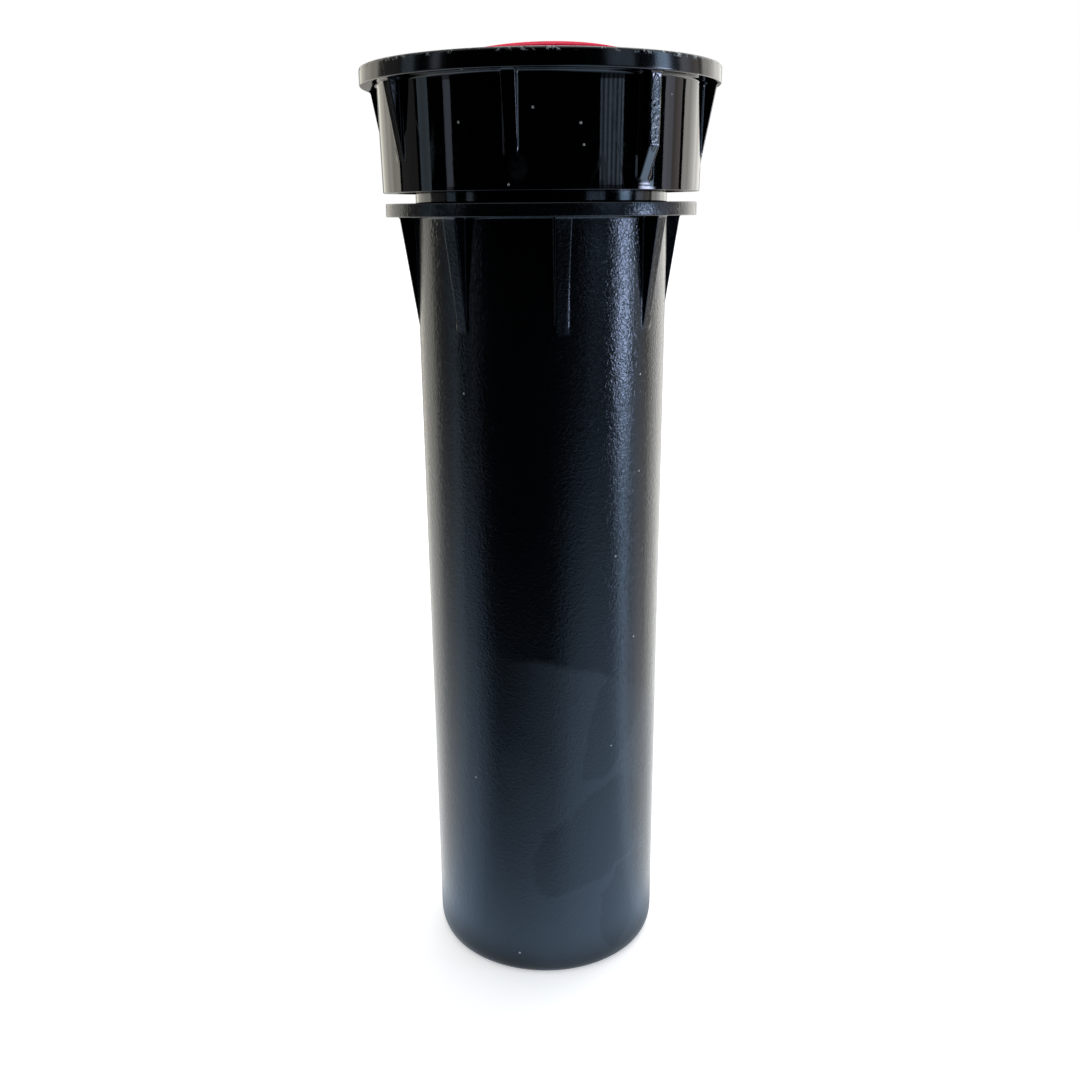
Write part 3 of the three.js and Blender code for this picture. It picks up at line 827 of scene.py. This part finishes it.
def make_cover(material):
    """The rubber cover: a dome with a rounded rim and a flat underside."""
    columns, rings = 288, 74
    top_r = COVER_R - COVER_EDGE
    rows = []
    for j in range(columns):
        azimuth = 360 * j / columns
        row = []
        for i in range(1, rings + 1):
            r = top_r * i / rings
            x, y, _ = on_circle(r, azimuth, 0)
            row.append((x, y, cover_top(x, y)))
        shoulder = row[-1][2]
        for k in range(1, 6):
            turn = math.radians(18 * k)
            r = top_r + COVER_EDGE * math.sin(turn)
            row.append(on_circle(r, azimuth, shoulder - COVER_EDGE * (1 - math.cos(turn))))
        row.append(on_circle(COVER_R, azimuth, COVER_FOOT + 0.3))
        row.append(on_circle(COVER_R - 0.3, azimuth, COVER_FOOT))
        row.append(on_circle(0.5, azimuth, COVER_FOOT))
        rows.append(row)
    verts, faces = grid(rows, wrap_columns=False)
    width = len(rows[0])
    apex, under = len(verts), len(verts) + 1
    verts += [(0, 0, cover_top(0, 0)), (0, 0, COVER_FOOT)]
    for j in range(columns):
        k = (j + 1) % columns
        faces.append((apex, k * width, j * width))
        faces.append((under, j * width + width - 1, k * width + width - 1))
    piece("cover_fine", [(verts, faces)], material, "turret", ["cover"])


# ---- shader trees ----


class Tree:
    """Short ways to wire procedural nodes into a node tree."""

    def __init__(self, tree):
        self.tree = tree

    def node(self, kind, **settings):
        made = self.tree.nodes.new(kind)
        for key, value in settings.items():
            setattr(made, key, value)
        return made

    def link(self, source, target):
        self.tree.links.new(source, target)

    def feed(self, value, socket):
        """Sets a socket to a number or a colour, or links it."""
        if isinstance(value, (int, float)):
            socket.default_value = value
        elif isinstance(value, tuple):
            socket.default_value = (*value, 1)
        else:
            self.link(value, socket)

    def maths(self, kind, *values):
        made = self.node("ShaderNodeMath", operation=kind)
        for socket, value in zip(made.inputs, values):
            self.feed(value, socket)
        return made.outputs["Value"]

    def spread(self, value, low, high, out_low=0.0, out_high=1.0, smooth=False):
        made = self.node("ShaderNodeMapRange", clamp=True)
        if smooth:
            made.interpolation_type = "SMOOTHSTEP"
        limits = {"From Min": low, "From Max": high, "To Min": out_low, "To Max": out_high}
        for socket, number in limits.items():
            made.inputs[socket].default_value = number
        self.link(value, made.inputs["Value"])
        return made.outputs["Result"]

    def mix_colour(self, factor, a, b):
        made = self.node("ShaderNodeMix", data_type="RGBA")
        self.feed(factor, made.inputs["Factor"])
        self.feed(a, made.inputs[6])
        self.feed(b, made.inputs[7])
        return made.outputs[2]

    def mix_shader(self, factor, a, b):
        made = self.node("ShaderNodeMixShader")
        for socket, source in zip(made.inputs, (factor, a, b)):
            self.link(source, socket)
        return made.outputs[0]

    def split(self, vector):
        made = self.node("ShaderNodeSeparateXYZ")
        self.link(vector, made.inputs[0])
        return made.outputs

    def reach(self, x, y):
        """Distance of (x, y) from the Z axis."""
        squares = (self.maths("MULTIPLY", side, side) for side in (x, y))
        return self.maths("SQRT", self.maths("ADD", *squares))


class Shader(Tree):
    """A Principled material with textures in the object's own coordinates."""

    def __init__(self, name, colour, roughness, **sockets):
        self.material = bpy.data.materials.new(name)
        self.material.use_nodes = True
        super().__init__(self.material.node_tree)
        self.bsdf = self.tree.nodes["Principled BSDF"]
        self.bsdf.inputs["Base Color"].default_value = (*colour, 1)
        self.bsdf.inputs["Roughness"].default_value = roughness
        for socket, value in sockets.items():
            self.bsdf.inputs[socket.replace("_", " ")].default_value = value
        self.coords = self.node("ShaderNodeTexCoord").outputs["Object"]

    def stretched(self, x, y, z, turn=0.0):
        made = self.node("ShaderNodeMapping")
        made.inputs["Scale"].default_value = (x, y, z)
        made.inputs["Rotation"].default_value = (turn, 0.7 * turn, 0)
        self.link(self.coords, made.inputs["Vector"])
        return made.outputs["Vector"]

    def noise(self, scale, detail=2.0, rough=0.5, vector=None, distortion=0.0):
        made = self.node("ShaderNodeTexNoise")
        made.inputs["Scale"].default_value = scale
        made.inputs["Detail"].default_value = detail
        made.inputs["Roughness"].default_value = rough
        made.inputs["Distortion"].default_value = distortion
        self.link(vector or self.coords, made.inputs["Vector"])
        return made.outputs["Fac"]

    def specks(self, cells, size, share):
        """Small dots, one in some of the cells of a random grid."""
        made = self.node("ShaderNodeTexVoronoi")
        made.inputs["Scale"].default_value = cells
        self.link(self.coords, made.inputs["Vector"])
        near = self.maths("LESS_THAN", made.outputs["Distance"], size)
        parts = self.node("ShaderNodeSeparateColor")
        self.link(made.outputs["Color"], parts.inputs["Color"])
        chosen = self.maths("GREATER_THAN", parts.outputs["Red"], 1 - share)
        return self.maths("MULTIPLY", near, chosen)

    def hairlines(self, scale, vector, width):
        """Thin wandering scratches, where a stretched noise crosses its middle."""
        away = self.maths("SUBTRACT", self.noise(scale, 1.0, vector=vector), 0.5)
        return self.spread(self.maths("ABSOLUTE", away), 0.0, width, 1.0, 0.0)

    def creases(self, scale):
        """A worm-like leather grain: a noise folded over at its middle."""
        away = self.maths("SUBTRACT", self.noise(scale, 1.0, distortion=0.5), 0.5)
        return self.spread(self.maths("ABSOLUTE", away), 0.0, 0.2)

    def bump(self, height, distance, strength=1.0, under=None):
        made = self.node("ShaderNodeBump")
        made.inputs["Distance"].default_value = distance
        made.inputs["Strength"].default_value = strength
        self.link(height, made.inputs["Height"])
        if under:
            self.link(under, made.inputs["Normal"])
        return made.outputs["Normal"]

    def colour(self, source):
        self.link(source, self.bsdf.inputs["Base Color"])

    def roughness(self, source):
        self.link(source, self.bsdf.inputs["Roughness"])

    def normal(self, source):
        self.link(source, self.bsdf.inputs["Normal"])


# ---- materials ----

DUST = (0.42, 0.4, 0.35)

# Clean prints in the greasy film low on the case: azimuth, height, half width, half height, lean.
PRINTS = ((38, 47, 21, 8, 0.9), (25, 25, 32, 9, 0.55), (46, 12, 17, 8, 0.5))


def oval(s, azimuth, z, centre, height, half_width, half_height, lean=0.0, soft=0.06):
    """1 inside an oval on the wall and 0 outside; degrees across, mm up."""
    across = s.maths("DIVIDE", s.maths("SUBTRACT", azimuth, centre), half_width)
    up = s.maths("DIVIDE", s.maths("SUBTRACT", z, height), half_height)
    up = s.maths("MULTIPLY_ADD", across, -lean, up)
    return s.spread(s.reach(across, up), 1 - soft, 1 + soft, 1.0, 0.0, smooth=True)


def unrolled(s):
    """Azimuth in degrees and height in mm, for marks drawn on a round wall."""
    parts = s.split(s.coords)
    angle = s.maths("ARCTAN2", parts["X"], s.maths("MULTIPLY", parts["Y"], -1.0))
    return s.maths("DEGREES", angle), s.maths("MULTIPLY", parts["Z"], 1000.0)


def greasy_film(s):
    """A dull film on the lower right front, with cleaner prints pressed in it, 0 to 1."""
    azimuth, z = unrolled(s)
    wander = s.maths("SUBTRACT", s.noise(60, 4.0, 0.6), 0.5)
    azimuth = s.maths("MULTIPLY_ADD", wander, 16.0, azimuth)
    z = s.maths("MULTIPLY_ADD", wander, -12.0, z)
    slope = s.spread(azimuth, -20, 50, 0.05, 0.15)
    edge = s.maths("MULTIPLY_ADD", azimuth, slope, z)
    below = s.spread(edge, 57.2, 59.2, 1.0, 0.0, smooth=True)
    film = s.maths("MULTIPLY", below, s.spread(azimuth, -22, 6, 0.15, 1.0, smooth=True))
    film = s.maths("MULTIPLY", film, s.spread(azimuth, 55, 105, 1.0, 0.0, smooth=True))
    for mark in PRINTS:
        clean = s.maths("MULTIPLY", oval(s, azimuth, z, *mark), 0.6)
        film = s.maths("MULTIPLY", film, s.maths("SUBTRACT", 1.0, clean))
    swirl = s.reach(s.maths("SUBTRACT", azimuth, -2.0), s.maths("SUBTRACT", z, 52.0))
    ridges = s.spread(s.maths("SINE", s.maths("MULTIPLY", swirl, 9.0)), -1, 1)
    thumb = s.maths("MULTIPLY", ridges, oval(s, azimuth, z, -14.5, 40.0, 6.0, 5.0, soft=0.4))
    return s.maths("MULTIPLY_ADD", thumb, 0.35, film)


def satin_black():
    """The case: leather-grained moulding with greasy prints and a little dust."""
    s = Shader("satin_black", (0.002, 0.0022, 0.0026), 0.2, Specular_IOR_Level=0.45)
    s.bsdf.inputs["Specular Tint"].default_value = (0.82, 0.92, 1.0, 1)
    film = greasy_film(s)
    cloud = s.noise(60, 3.0, 0.55)
    dust = s.specks(260, 0.05, 0.25)
    scratches = s.hairlines(90, s.stretched(1, 1, 0.12, turn=0.25), 0.003)
    tone = s.mix_colour(cloud, (0.0014, 0.0016, 0.002), (0.0024, 0.0026, 0.0031))
    tone = s.mix_colour(film, tone, (0.024, 0.028, 0.032))
    s.colour(s.mix_colour(dust, tone, DUST))
    _, z = unrolled(s)
    neck = s.spread(z, CASE_FLANGE_TOP - 0.3, CASE_FLANGE_TOP)
    rough = s.spread(cloud, 0.3, 0.7, 0.18, 0.22)
    for layer, weight in ((film, 0.06), (scratches, 0.08), (neck, -0.1), (dust, 0.4)):
        rough = s.maths("MULTIPLY_ADD", layer, weight, rough)
    s.roughness(rough)
    grain = s.maths("MULTIPLY", s.creases(1400), s.spread(neck, 0, 1, 1.0, 0.1))
    s.normal(s.bump(grain, 0.000017, 1.0, under=s.bump(s.noise(420), 0.00001, 0.6)))
    return s.material


def rubbed_rim(s):
    """Flecks of pale flash along the rim of the cap's top, 0 to 1."""
    parts = s.split(s.coords)
    radius = s.reach(parts["X"], parts["Y"])
    outer = s.spread(radius, (CAP_FLANGE_R - 0.55) * MM, (CAP_FLANGE_R - 0.3) * MM)
    high = s.spread(parts["Z"], (CAP_TOP - 0.65) * MM, (CAP_TOP - 0.4) * MM)
    flecks = s.spread(s.noise(800, 5.0, 0.7), 0.54, 0.6)
    return s.maths("MULTIPLY", s.maths("MULTIPLY", outer, high), flecks)


def gloss_black():
    """The cap: glossy moulding, slightly wavy, with hairlines, dust and a rubbed rim."""
    s = Shader("gloss_black", (0.001, 0.001, 0.0012), 0.05, Specular_IOR_Level=0.5)
    azimuth, z = unrolled(s)
    dust = s.specks(300, 0.06, 0.45)
    scuffs = s.spread(s.noise(300, 5.0, 0.7), 0.6, 0.75)
    scratches = s.hairlines(120, s.stretched(1, 1, 0.1, turn=0.3), 0.004)
    rim = rubbed_rim(s)
    # Painted reflection: a lighter grey patch under the rib at -9.5 degrees, broken up by noise. It
    # lightens the cap's tone together with the real scuffs.
    rib_reflection = oval(s, azimuth, z, -7.5, CAP_TOP - 15.2, 3.0, 1.9, soft=0.3)
    rib_reflection = s.maths("MULTIPLY", rib_reflection, s.spread(s.noise(500, 4.0, 0.7), 0.35, 0.7))
    marks = s.maths("MAXIMUM", rib_reflection, s.maths("MULTIPLY", scuffs, 0.25))
    tone = s.mix_colour(marks, (0.0008, 0.0008, 0.001), (0.011, 0.0115, 0.0125))
    tone = s.mix_colour(s.maths("MULTIPLY", rim, 0.9), tone, (0.42, 0.43, 0.41))
    s.colour(s.mix_colour(dust, tone, DUST))
    flange = s.spread(z, CAP_TOP - 2.7, CAP_TOP - 2.5)
    rough = s.spread(scuffs, 0, 1, 0.04, 0.13)
    for layer, weight in ((flange, 0.1), (scratches, 0.12), (rim, 0.4), (dust, 0.5)):
        rough = s.maths("MULTIPLY_ADD", layer, weight, rough)
    s.roughness(rough)
    waves = s.bump(s.noise(110, 1.0, 0.4, vector=s.stretched(1, 1, 0.2)), 0.00005, 0.5)
    flash = s.bump(rim, 0.00008, 0.8, under=waves)
    gate = oval(s, azimuth, z, CAP_RIB_CENTRES[INDEX_RIB], CAP_TOP - 8, 1.9, 5.0)
    tooling = s.maths("MULTIPLY", gate, s.noise(1300, 3.0, 0.6))
    rib_face = s.bump(tooling, 0.00006, 1.0, under=flash)
    s.normal(s.bump(s.noise(1400, 3.0, 0.6), 0.000002, 0.8, under=rib_face))
    return s.material


def riser_black():
    """The riser and turret: smooth black moulding with faint draw lines."""
    s = Shader("riser_black", (0.006, 0.006, 0.0065), 0.25)
    drawn = s.noise(500, 2.0, 0.5, vector=s.stretched(1, 1, 0.04))
    dust = s.specks(300, 0.04, 0.05)
    s.colour(s.mix_colour(dust, (0.0055, 0.0055, 0.006), DUST))
    s.roughness(s.spread(drawn, 0.3, 0.7, 0.2, 0.32))
    s.normal(s.bump(drawn, 0.00001, 0.7))
    return s.material


def red_rubber():
    """The cover: dull red rubber, a little cloudy."""
    s = Shader("red_rubber", (0.7, 0.004, 0.044), 0.55, Specular_IOR_Level=0.04)
    cloud = s.noise(160, 4.0, 0.6)
    s.colour(s.mix_colour(cloud, (0.64, 0.003, 0.038), (0.76, 0.005, 0.052)))
    s.roughness(s.spread(cloud, 0.3, 0.7, 0.38, 0.52))
    s.normal(s.bump(s.noise(1800, 2.0, 0.5), 0.00002, 0.6))
    return s.material


def black_rubber():
    """The seals: soft black rubber with a pale bloom."""
    s = Shader("soft_rubber", (0.012, 0.012, 0.012), 0.7, Specular_IOR_Level=0.35)
    bloom = s.noise(300, 3.0, 0.6)
    s.colour(s.mix_colour(bloom, (0.009, 0.009, 0.009), (0.017, 0.0165, 0.016)))
    s.roughness(s.spread(bloom, 0.3, 0.7, 0.6, 0.8))
    s.normal(s.bump(s.noise(1600, 2.0, 0.5), 0.00002, 0.5))
    return s.material


def moulded(name, dark, light, rough_low, rough_high):
    """A plain moulded plastic with faint flow marks and a fine skin."""
    s = Shader(name, dark, rough_low, Specular_IOR_Level=0.5)
    flow = s.noise(120, 3.0, 0.5, distortion=0.8)
    s.colour(s.mix_colour(flow, dark, light))
    s.roughness(s.spread(flow, 0.3, 0.7, rough_low, rough_high))
    s.normal(s.bump(s.noise(1200, 2.0, 0.5), 0.000015, 0.5))
    return s.material


def drawn_steel():
    """Bright spring wire and pins, with fine lines from the drawing die."""
    s = Shader("drawn_steel", (0.55, 0.56, 0.57), 0.3, Metallic=1.0)
    lines = s.noise(700, 3.0, 0.6, vector=s.stretched(1, 1, 3))
    s.colour(s.mix_colour(lines, (0.47, 0.48, 0.5), (0.62, 0.62, 0.62)))
    s.roughness(s.spread(lines, 0.3, 0.7, 0.22, 0.4))
    s.normal(s.bump(lines, 0.00001, 0.5))
    return s.material


def make_materials():
    acetal = ((0.72, 0.7, 0.62), (0.8, 0.79, 0.73))
    grey = ((0.12, 0.13, 0.14), (0.16, 0.17, 0.18))
    blue = ((0.012, 0.06, 0.22), (0.02, 0.08, 0.27))
    return {
        "case_plastic": satin_black(),
        "cap_plastic": gloss_black(),
        "riser_plastic": riser_black(),
        "acetal": moulded("acetal", *acetal, 0.3, 0.42),
        "grey_plastic": moulded("grey_moulding", *grey, 0.4, 0.55),
        "blue_plastic": moulded("blue_moulding", *blue, 0.35, 0.5),
        "black_rubber": black_rubber(),
        "red_rubber": red_rubber(),
        "spring_steel": drawn_steel(),
    }


def paint_cad_nodes(materials):
    """Gives every carried-over CAD node the finish of its record slot."""
    for row in frame["record"]["subparts"]:
        obj = frame["nodes"][row["node"]]
        obj.data.materials.clear()
        obj.data.materials.append(materials[row["material_slot"]])


# ---- studio ----

# What stands round the object, in order of azimuth: its middle, half width and glow.
ROOM = {
    "back_left": (-170.3, 10, (0.45, 0.44, 0.42)),
    "wall_left": (-139.6, 20.6, (1.35, 1.30, 1.15)),
    "doorway": (-106, 10, (0.17, 0.16, 0.16)),
    "window_left": (-88.5, 5, (0.60, 0.78, 0.92)),
    "strip_left": (-67, 3, (0.75, 0.85, 1.05)),
    "blind": (48, 8.5, (0.85, 1.10, 1.45)),
    "window_right": (79, 5.5, (2.60, 3.60, 5.00)),
    "curtain": (98.5, 4.5, (1.10, 1.15, 1.35)),
    "shelf": (108.5, 4.5, (0.80, 0.72, 0.70)),
    "wall_right": (139.5, 21.5, (1.90, 1.86, 1.76)),
    "back_right": (171.1, 10, (0.45, 0.44, 0.42)),
}
ROOM_PEAK = 5.0
SLAT_PITCH = 3.3
CEILING = (0.85, 0.87, 0.90)
# Painted light and shade that the floor glows with, seen only in reflections: its glow in front of
# and behind the object, a painted contact shadow, a painted window sheen and a painted shadow of
# someone in front.
TABLE_GLOW_FRONT = (1.16, 1.54, 2.05)
TABLE_GLOW_BACK = (1.60, 1.64, 1.66)
CONTACT_SHADOW = (0.55, 0.62, 0.70)
SHEEN_MIDDLE = 79.5
SHEEN = (16.0, 17.5, 24.5)
SHADOW_MIDDLE = -20.0
SHADOW_REACH = (0.045, 0.20)
WHITE = (1.0, 1.0, 1.0)


def room_light(t, x, y):
    """The colour of the room towards (x, y), from panels set out by azimuth."""
    azimuth = t.maths("ARCTAN2", x, t.maths("MULTIPLY", y, -1.0))
    panels = t.node("ShaderNodeValToRGB")
    panels.color_ramp.interpolation = "CONSTANT"
    stops = panels.color_ramp.elements
    stops.remove(stops[1])
    for centre, half, glow in ROOM.values():
        for edge, level in ((centre - half, glow), (centre + half, (0.0, 0.0, 0.0))):
            stop = stops.new(min(max(edge / 360 + 0.5, 0.0), 1.0))
            stop.color = (*(channel / ROOM_PEAK for channel in level), 1)
    stops[0].color = stops[1].color
    place = t.node("ShaderNodeCombineXYZ")
    t.link(azimuth, place.inputs["X"])
    clutter = t.node("ShaderNodeTexNoise")
    t.feed(3.5, clutter.inputs["Scale"])
    t.feed(4.0, clutter.inputs["Detail"])
    t.link(place.outputs[0], clutter.inputs["Vector"])
    t.link(t.spread(azimuth, -math.pi, math.pi), panels.inputs["Fac"])
    middle, half, _ = ROOM["blind"]
    in_blind = t.maths("COMPARE", azimuth, math.radians(middle), math.radians(half))
    slats = t.maths("COSINE", t.maths("MULTIPLY", azimuth, 360 / SLAT_PITCH))
    shade = t.maths("MULTIPLY", in_blind, t.spread(slats, -1, 1, 0.0, 0.8))
    uneven = t.spread(clutter.outputs["Fac"], 0.3, 0.7, 0.5 * ROOM_PEAK, 1.4 * ROOM_PEAK)
    lit = t.maths("MULTIPLY", t.maths("SUBTRACT", 1.0, shade), uneven)
    made = t.node("ShaderNodeVectorMath", operation="SCALE")
    t.link(panels.outputs["Color"], made.inputs[0])
    t.link(lit, made.inputs["Scale"])
    return made.outputs["Vector"], azimuth


def make_world():
    """A white backdrop to the camera, and the room to everything else."""
    world = bpy.data.worlds.new("studio")
    bpy.context.scene.world = world
    world.use_nodes = True
    t = Tree(world.node_tree)
    towards = t.split(t.node("ShaderNodeTexCoord").outputs["Generated"])
    walls, _ = room_light(t, towards["X"], towards["Y"])
    colour = t.mix_colour(t.spread(towards["Z"], 0.35, 0.8, smooth=True), walls, CEILING)
    room = t.tree.nodes["Background"]
    t.link(colour, room.inputs["Color"])
    backdrop = t.node("ShaderNodeBackground")
    t.feed(WHITE, backdrop.inputs["Color"])
    seen = t.node("ShaderNodeLightPath").outputs["Is Camera Ray"]
    mixed = t.mix_shader(seen, room.outputs[0], backdrop.outputs[0])
    t.link(mixed, t.tree.nodes["World Output"].inputs["Surface"])


def table_light(t):
    """Painted light that the floor glows with, seen only in reflections: bright by the object, the
    room's colour far off.

    It falls off sooner in a painted shadow of whoever stands in front of it, darkens in a painted
    contact shadow at the object's foot, and carries a painted sheen under the window on the right.
    """
    place = t.split(t.node("ShaderNodeNewGeometry").outputs["Position"])
    walls, azimuth = room_light(t, place["X"], place["Y"])
    turn = t.maths("DEGREES", azimuth)
    span = t.reach(place["X"], place["Y"])
    gap = t.maths("SUBTRACT", span, CASE_R * MM)
    off_shadow = t.maths("ABSOLUTE", t.maths("SUBTRACT", turn, SHADOW_MIDDLE))
    off_window = t.maths("ABSOLUTE", t.maths("SUBTRACT", turn, SHEEN_MIDDLE))
    # Painted sheen: a bright band of glow under the window on the right, stronger far from the
    # object.
    sheen = t.spread(off_window, 1, 9, 1.0, 0.0, smooth=True)
    sheen = t.maths("MULTIPLY", sheen, t.spread(span, 0.45, 1.5, 0.02, 1.0))
    aside = t.maths("ABSOLUTE", turn)
    # Painted shade: the room's colour in the far glow darkens towards the front, within 85 degrees of
    # it.
    dull = t.spread(aside, 60, 85, 0.8, 0.0)
    far = t.mix_colour(sheen, t.mix_colour(dull, walls, (0.0, 0.0, 0.0)), SHEEN)
    behind = t.spread(aside, 60, 115, smooth=True)
    near = t.mix_colour(behind, TABLE_GLOW_FRONT, TABLE_GLOW_BACK)
    # Painted contact shadow: the glow darkens within 10 mm of the case's radius.
    near = t.mix_colour(t.spread(gap, 0.0, 0.01, smooth=True), CONTACT_SHADOW, near)
    # Painted shadow: in front of the object the glow fades within a shorter reach.
    reach = t.spread(off_shadow, 25, 60, *SHADOW_REACH, smooth=True)
    fall = t.maths("DIVIDE", t.maths("MAXIMUM", gap, 0.0), reach)
    nearness = t.maths("EXPONENT", t.maths("MULTIPLY", fall, -1.0))
    glow = t.node("ShaderNodeEmission")
    t.link(t.mix_colour(nearness, far, near), glow.inputs["Color"])
    return glow.outputs[0]


def make_floor():
    """A plain white floor to the camera, just under the base and clear from below; in reflections it
    glows with painted light and shade.
    """
    mesh = bpy.data.meshes.new("floor")
    side, drop = 6.0, -0.0001
    corners = [(x * side, y * side, drop) for x, y in ((-1, -1), (1, -1), (1, 1), (-1, 1))]
    mesh.from_pydata(corners, [], [(0, 1, 2, 3)])
    floor = placed("floor", mesh)
    s = Shader("pale_floor", (0.9, 0.9, 0.9), 0.9)
    s.bsdf.inputs["Emission Color"].default_value = (1, 1, 1, 1)
    s.bsdf.inputs["Emission Strength"].default_value = 0.45
    facing = s.node("ShaderNodeNewGeometry").outputs["Backfacing"]
    seen = s.node("ShaderNodeLightPath").outputs["Is Camera Ray"]
    top = s.mix_shader(seen, table_light(s), s.bsdf.outputs[0])
    clear = s.node("ShaderNodeBsdfTransparent").outputs[0]
    whole = s.mix_shader(facing, top, clear)
    s.link(whole, s.tree.nodes["Material Output"].inputs["Surface"])
    mesh.materials.append(s.material)


def make_softbox(place, aim, side, power):
    data = bpy.data.lights.new("softbox", "AREA")
    data.size = side
    data.energy = power
    lamp = placed("softbox", data)
    lamp.location = place
    lamp.rotation_mode = "QUATERNION"
    lamp.rotation_quaternion = (Vector(aim) - Vector(place)).to_track_quat("-Z", "Y")
    lamp.visible_camera = False


CAMERA_PLACE = (-0.00061, -0.1893, 0.1291)
LENS = 37.67
LOOK_DOWN = 16.27
ROLL = -0.458


def make_camera():
    """Just in front of the sprinkler, a little below its cap, looking down."""
    data = bpy.data.cameras.new("camera")
    data.sensor_width = 36.0
    data.lens = LENS
    data.clip_start = 0.01
    camera = placed("camera", data)
    tilt = Matrix.Rotation(math.radians(90 - LOOK_DOWN), 4, "X")
    roll = Matrix.Rotation(math.radians(ROLL), 4, "Z")
    camera.matrix_world = Matrix.Translation(CAMERA_PLACE) @ tilt @ roll
    bpy.context.scene.camera = camera


# ---- scene ----

make_camera()
materials = make_materials()
paint_cad_nodes(materials)
make_case(materials["case_plastic"])
make_cap(materials["cap_plastic"])
make_seals(materials["black_rubber"])
make_spring_seat(materials["acetal"])
make_spring(materials["spring_steel"])
make_riser(materials["riser_plastic"])
make_turret(materials["riser_plastic"])
make_nozzle(materials["blue_plastic"])
make_check_seal(materials["black_rubber"])
make_screen(materials["blue_plastic"])
make_cover(materials["red_rubber"])
make_works(materials)
make_floor()
make_world()
make_softbox(place=(0.1, 0.25, 0.8), aim=(0, 0, 0.12), side=0.5, power=3)
bpy.context.scene.view_settings.view_transform = "Standard"
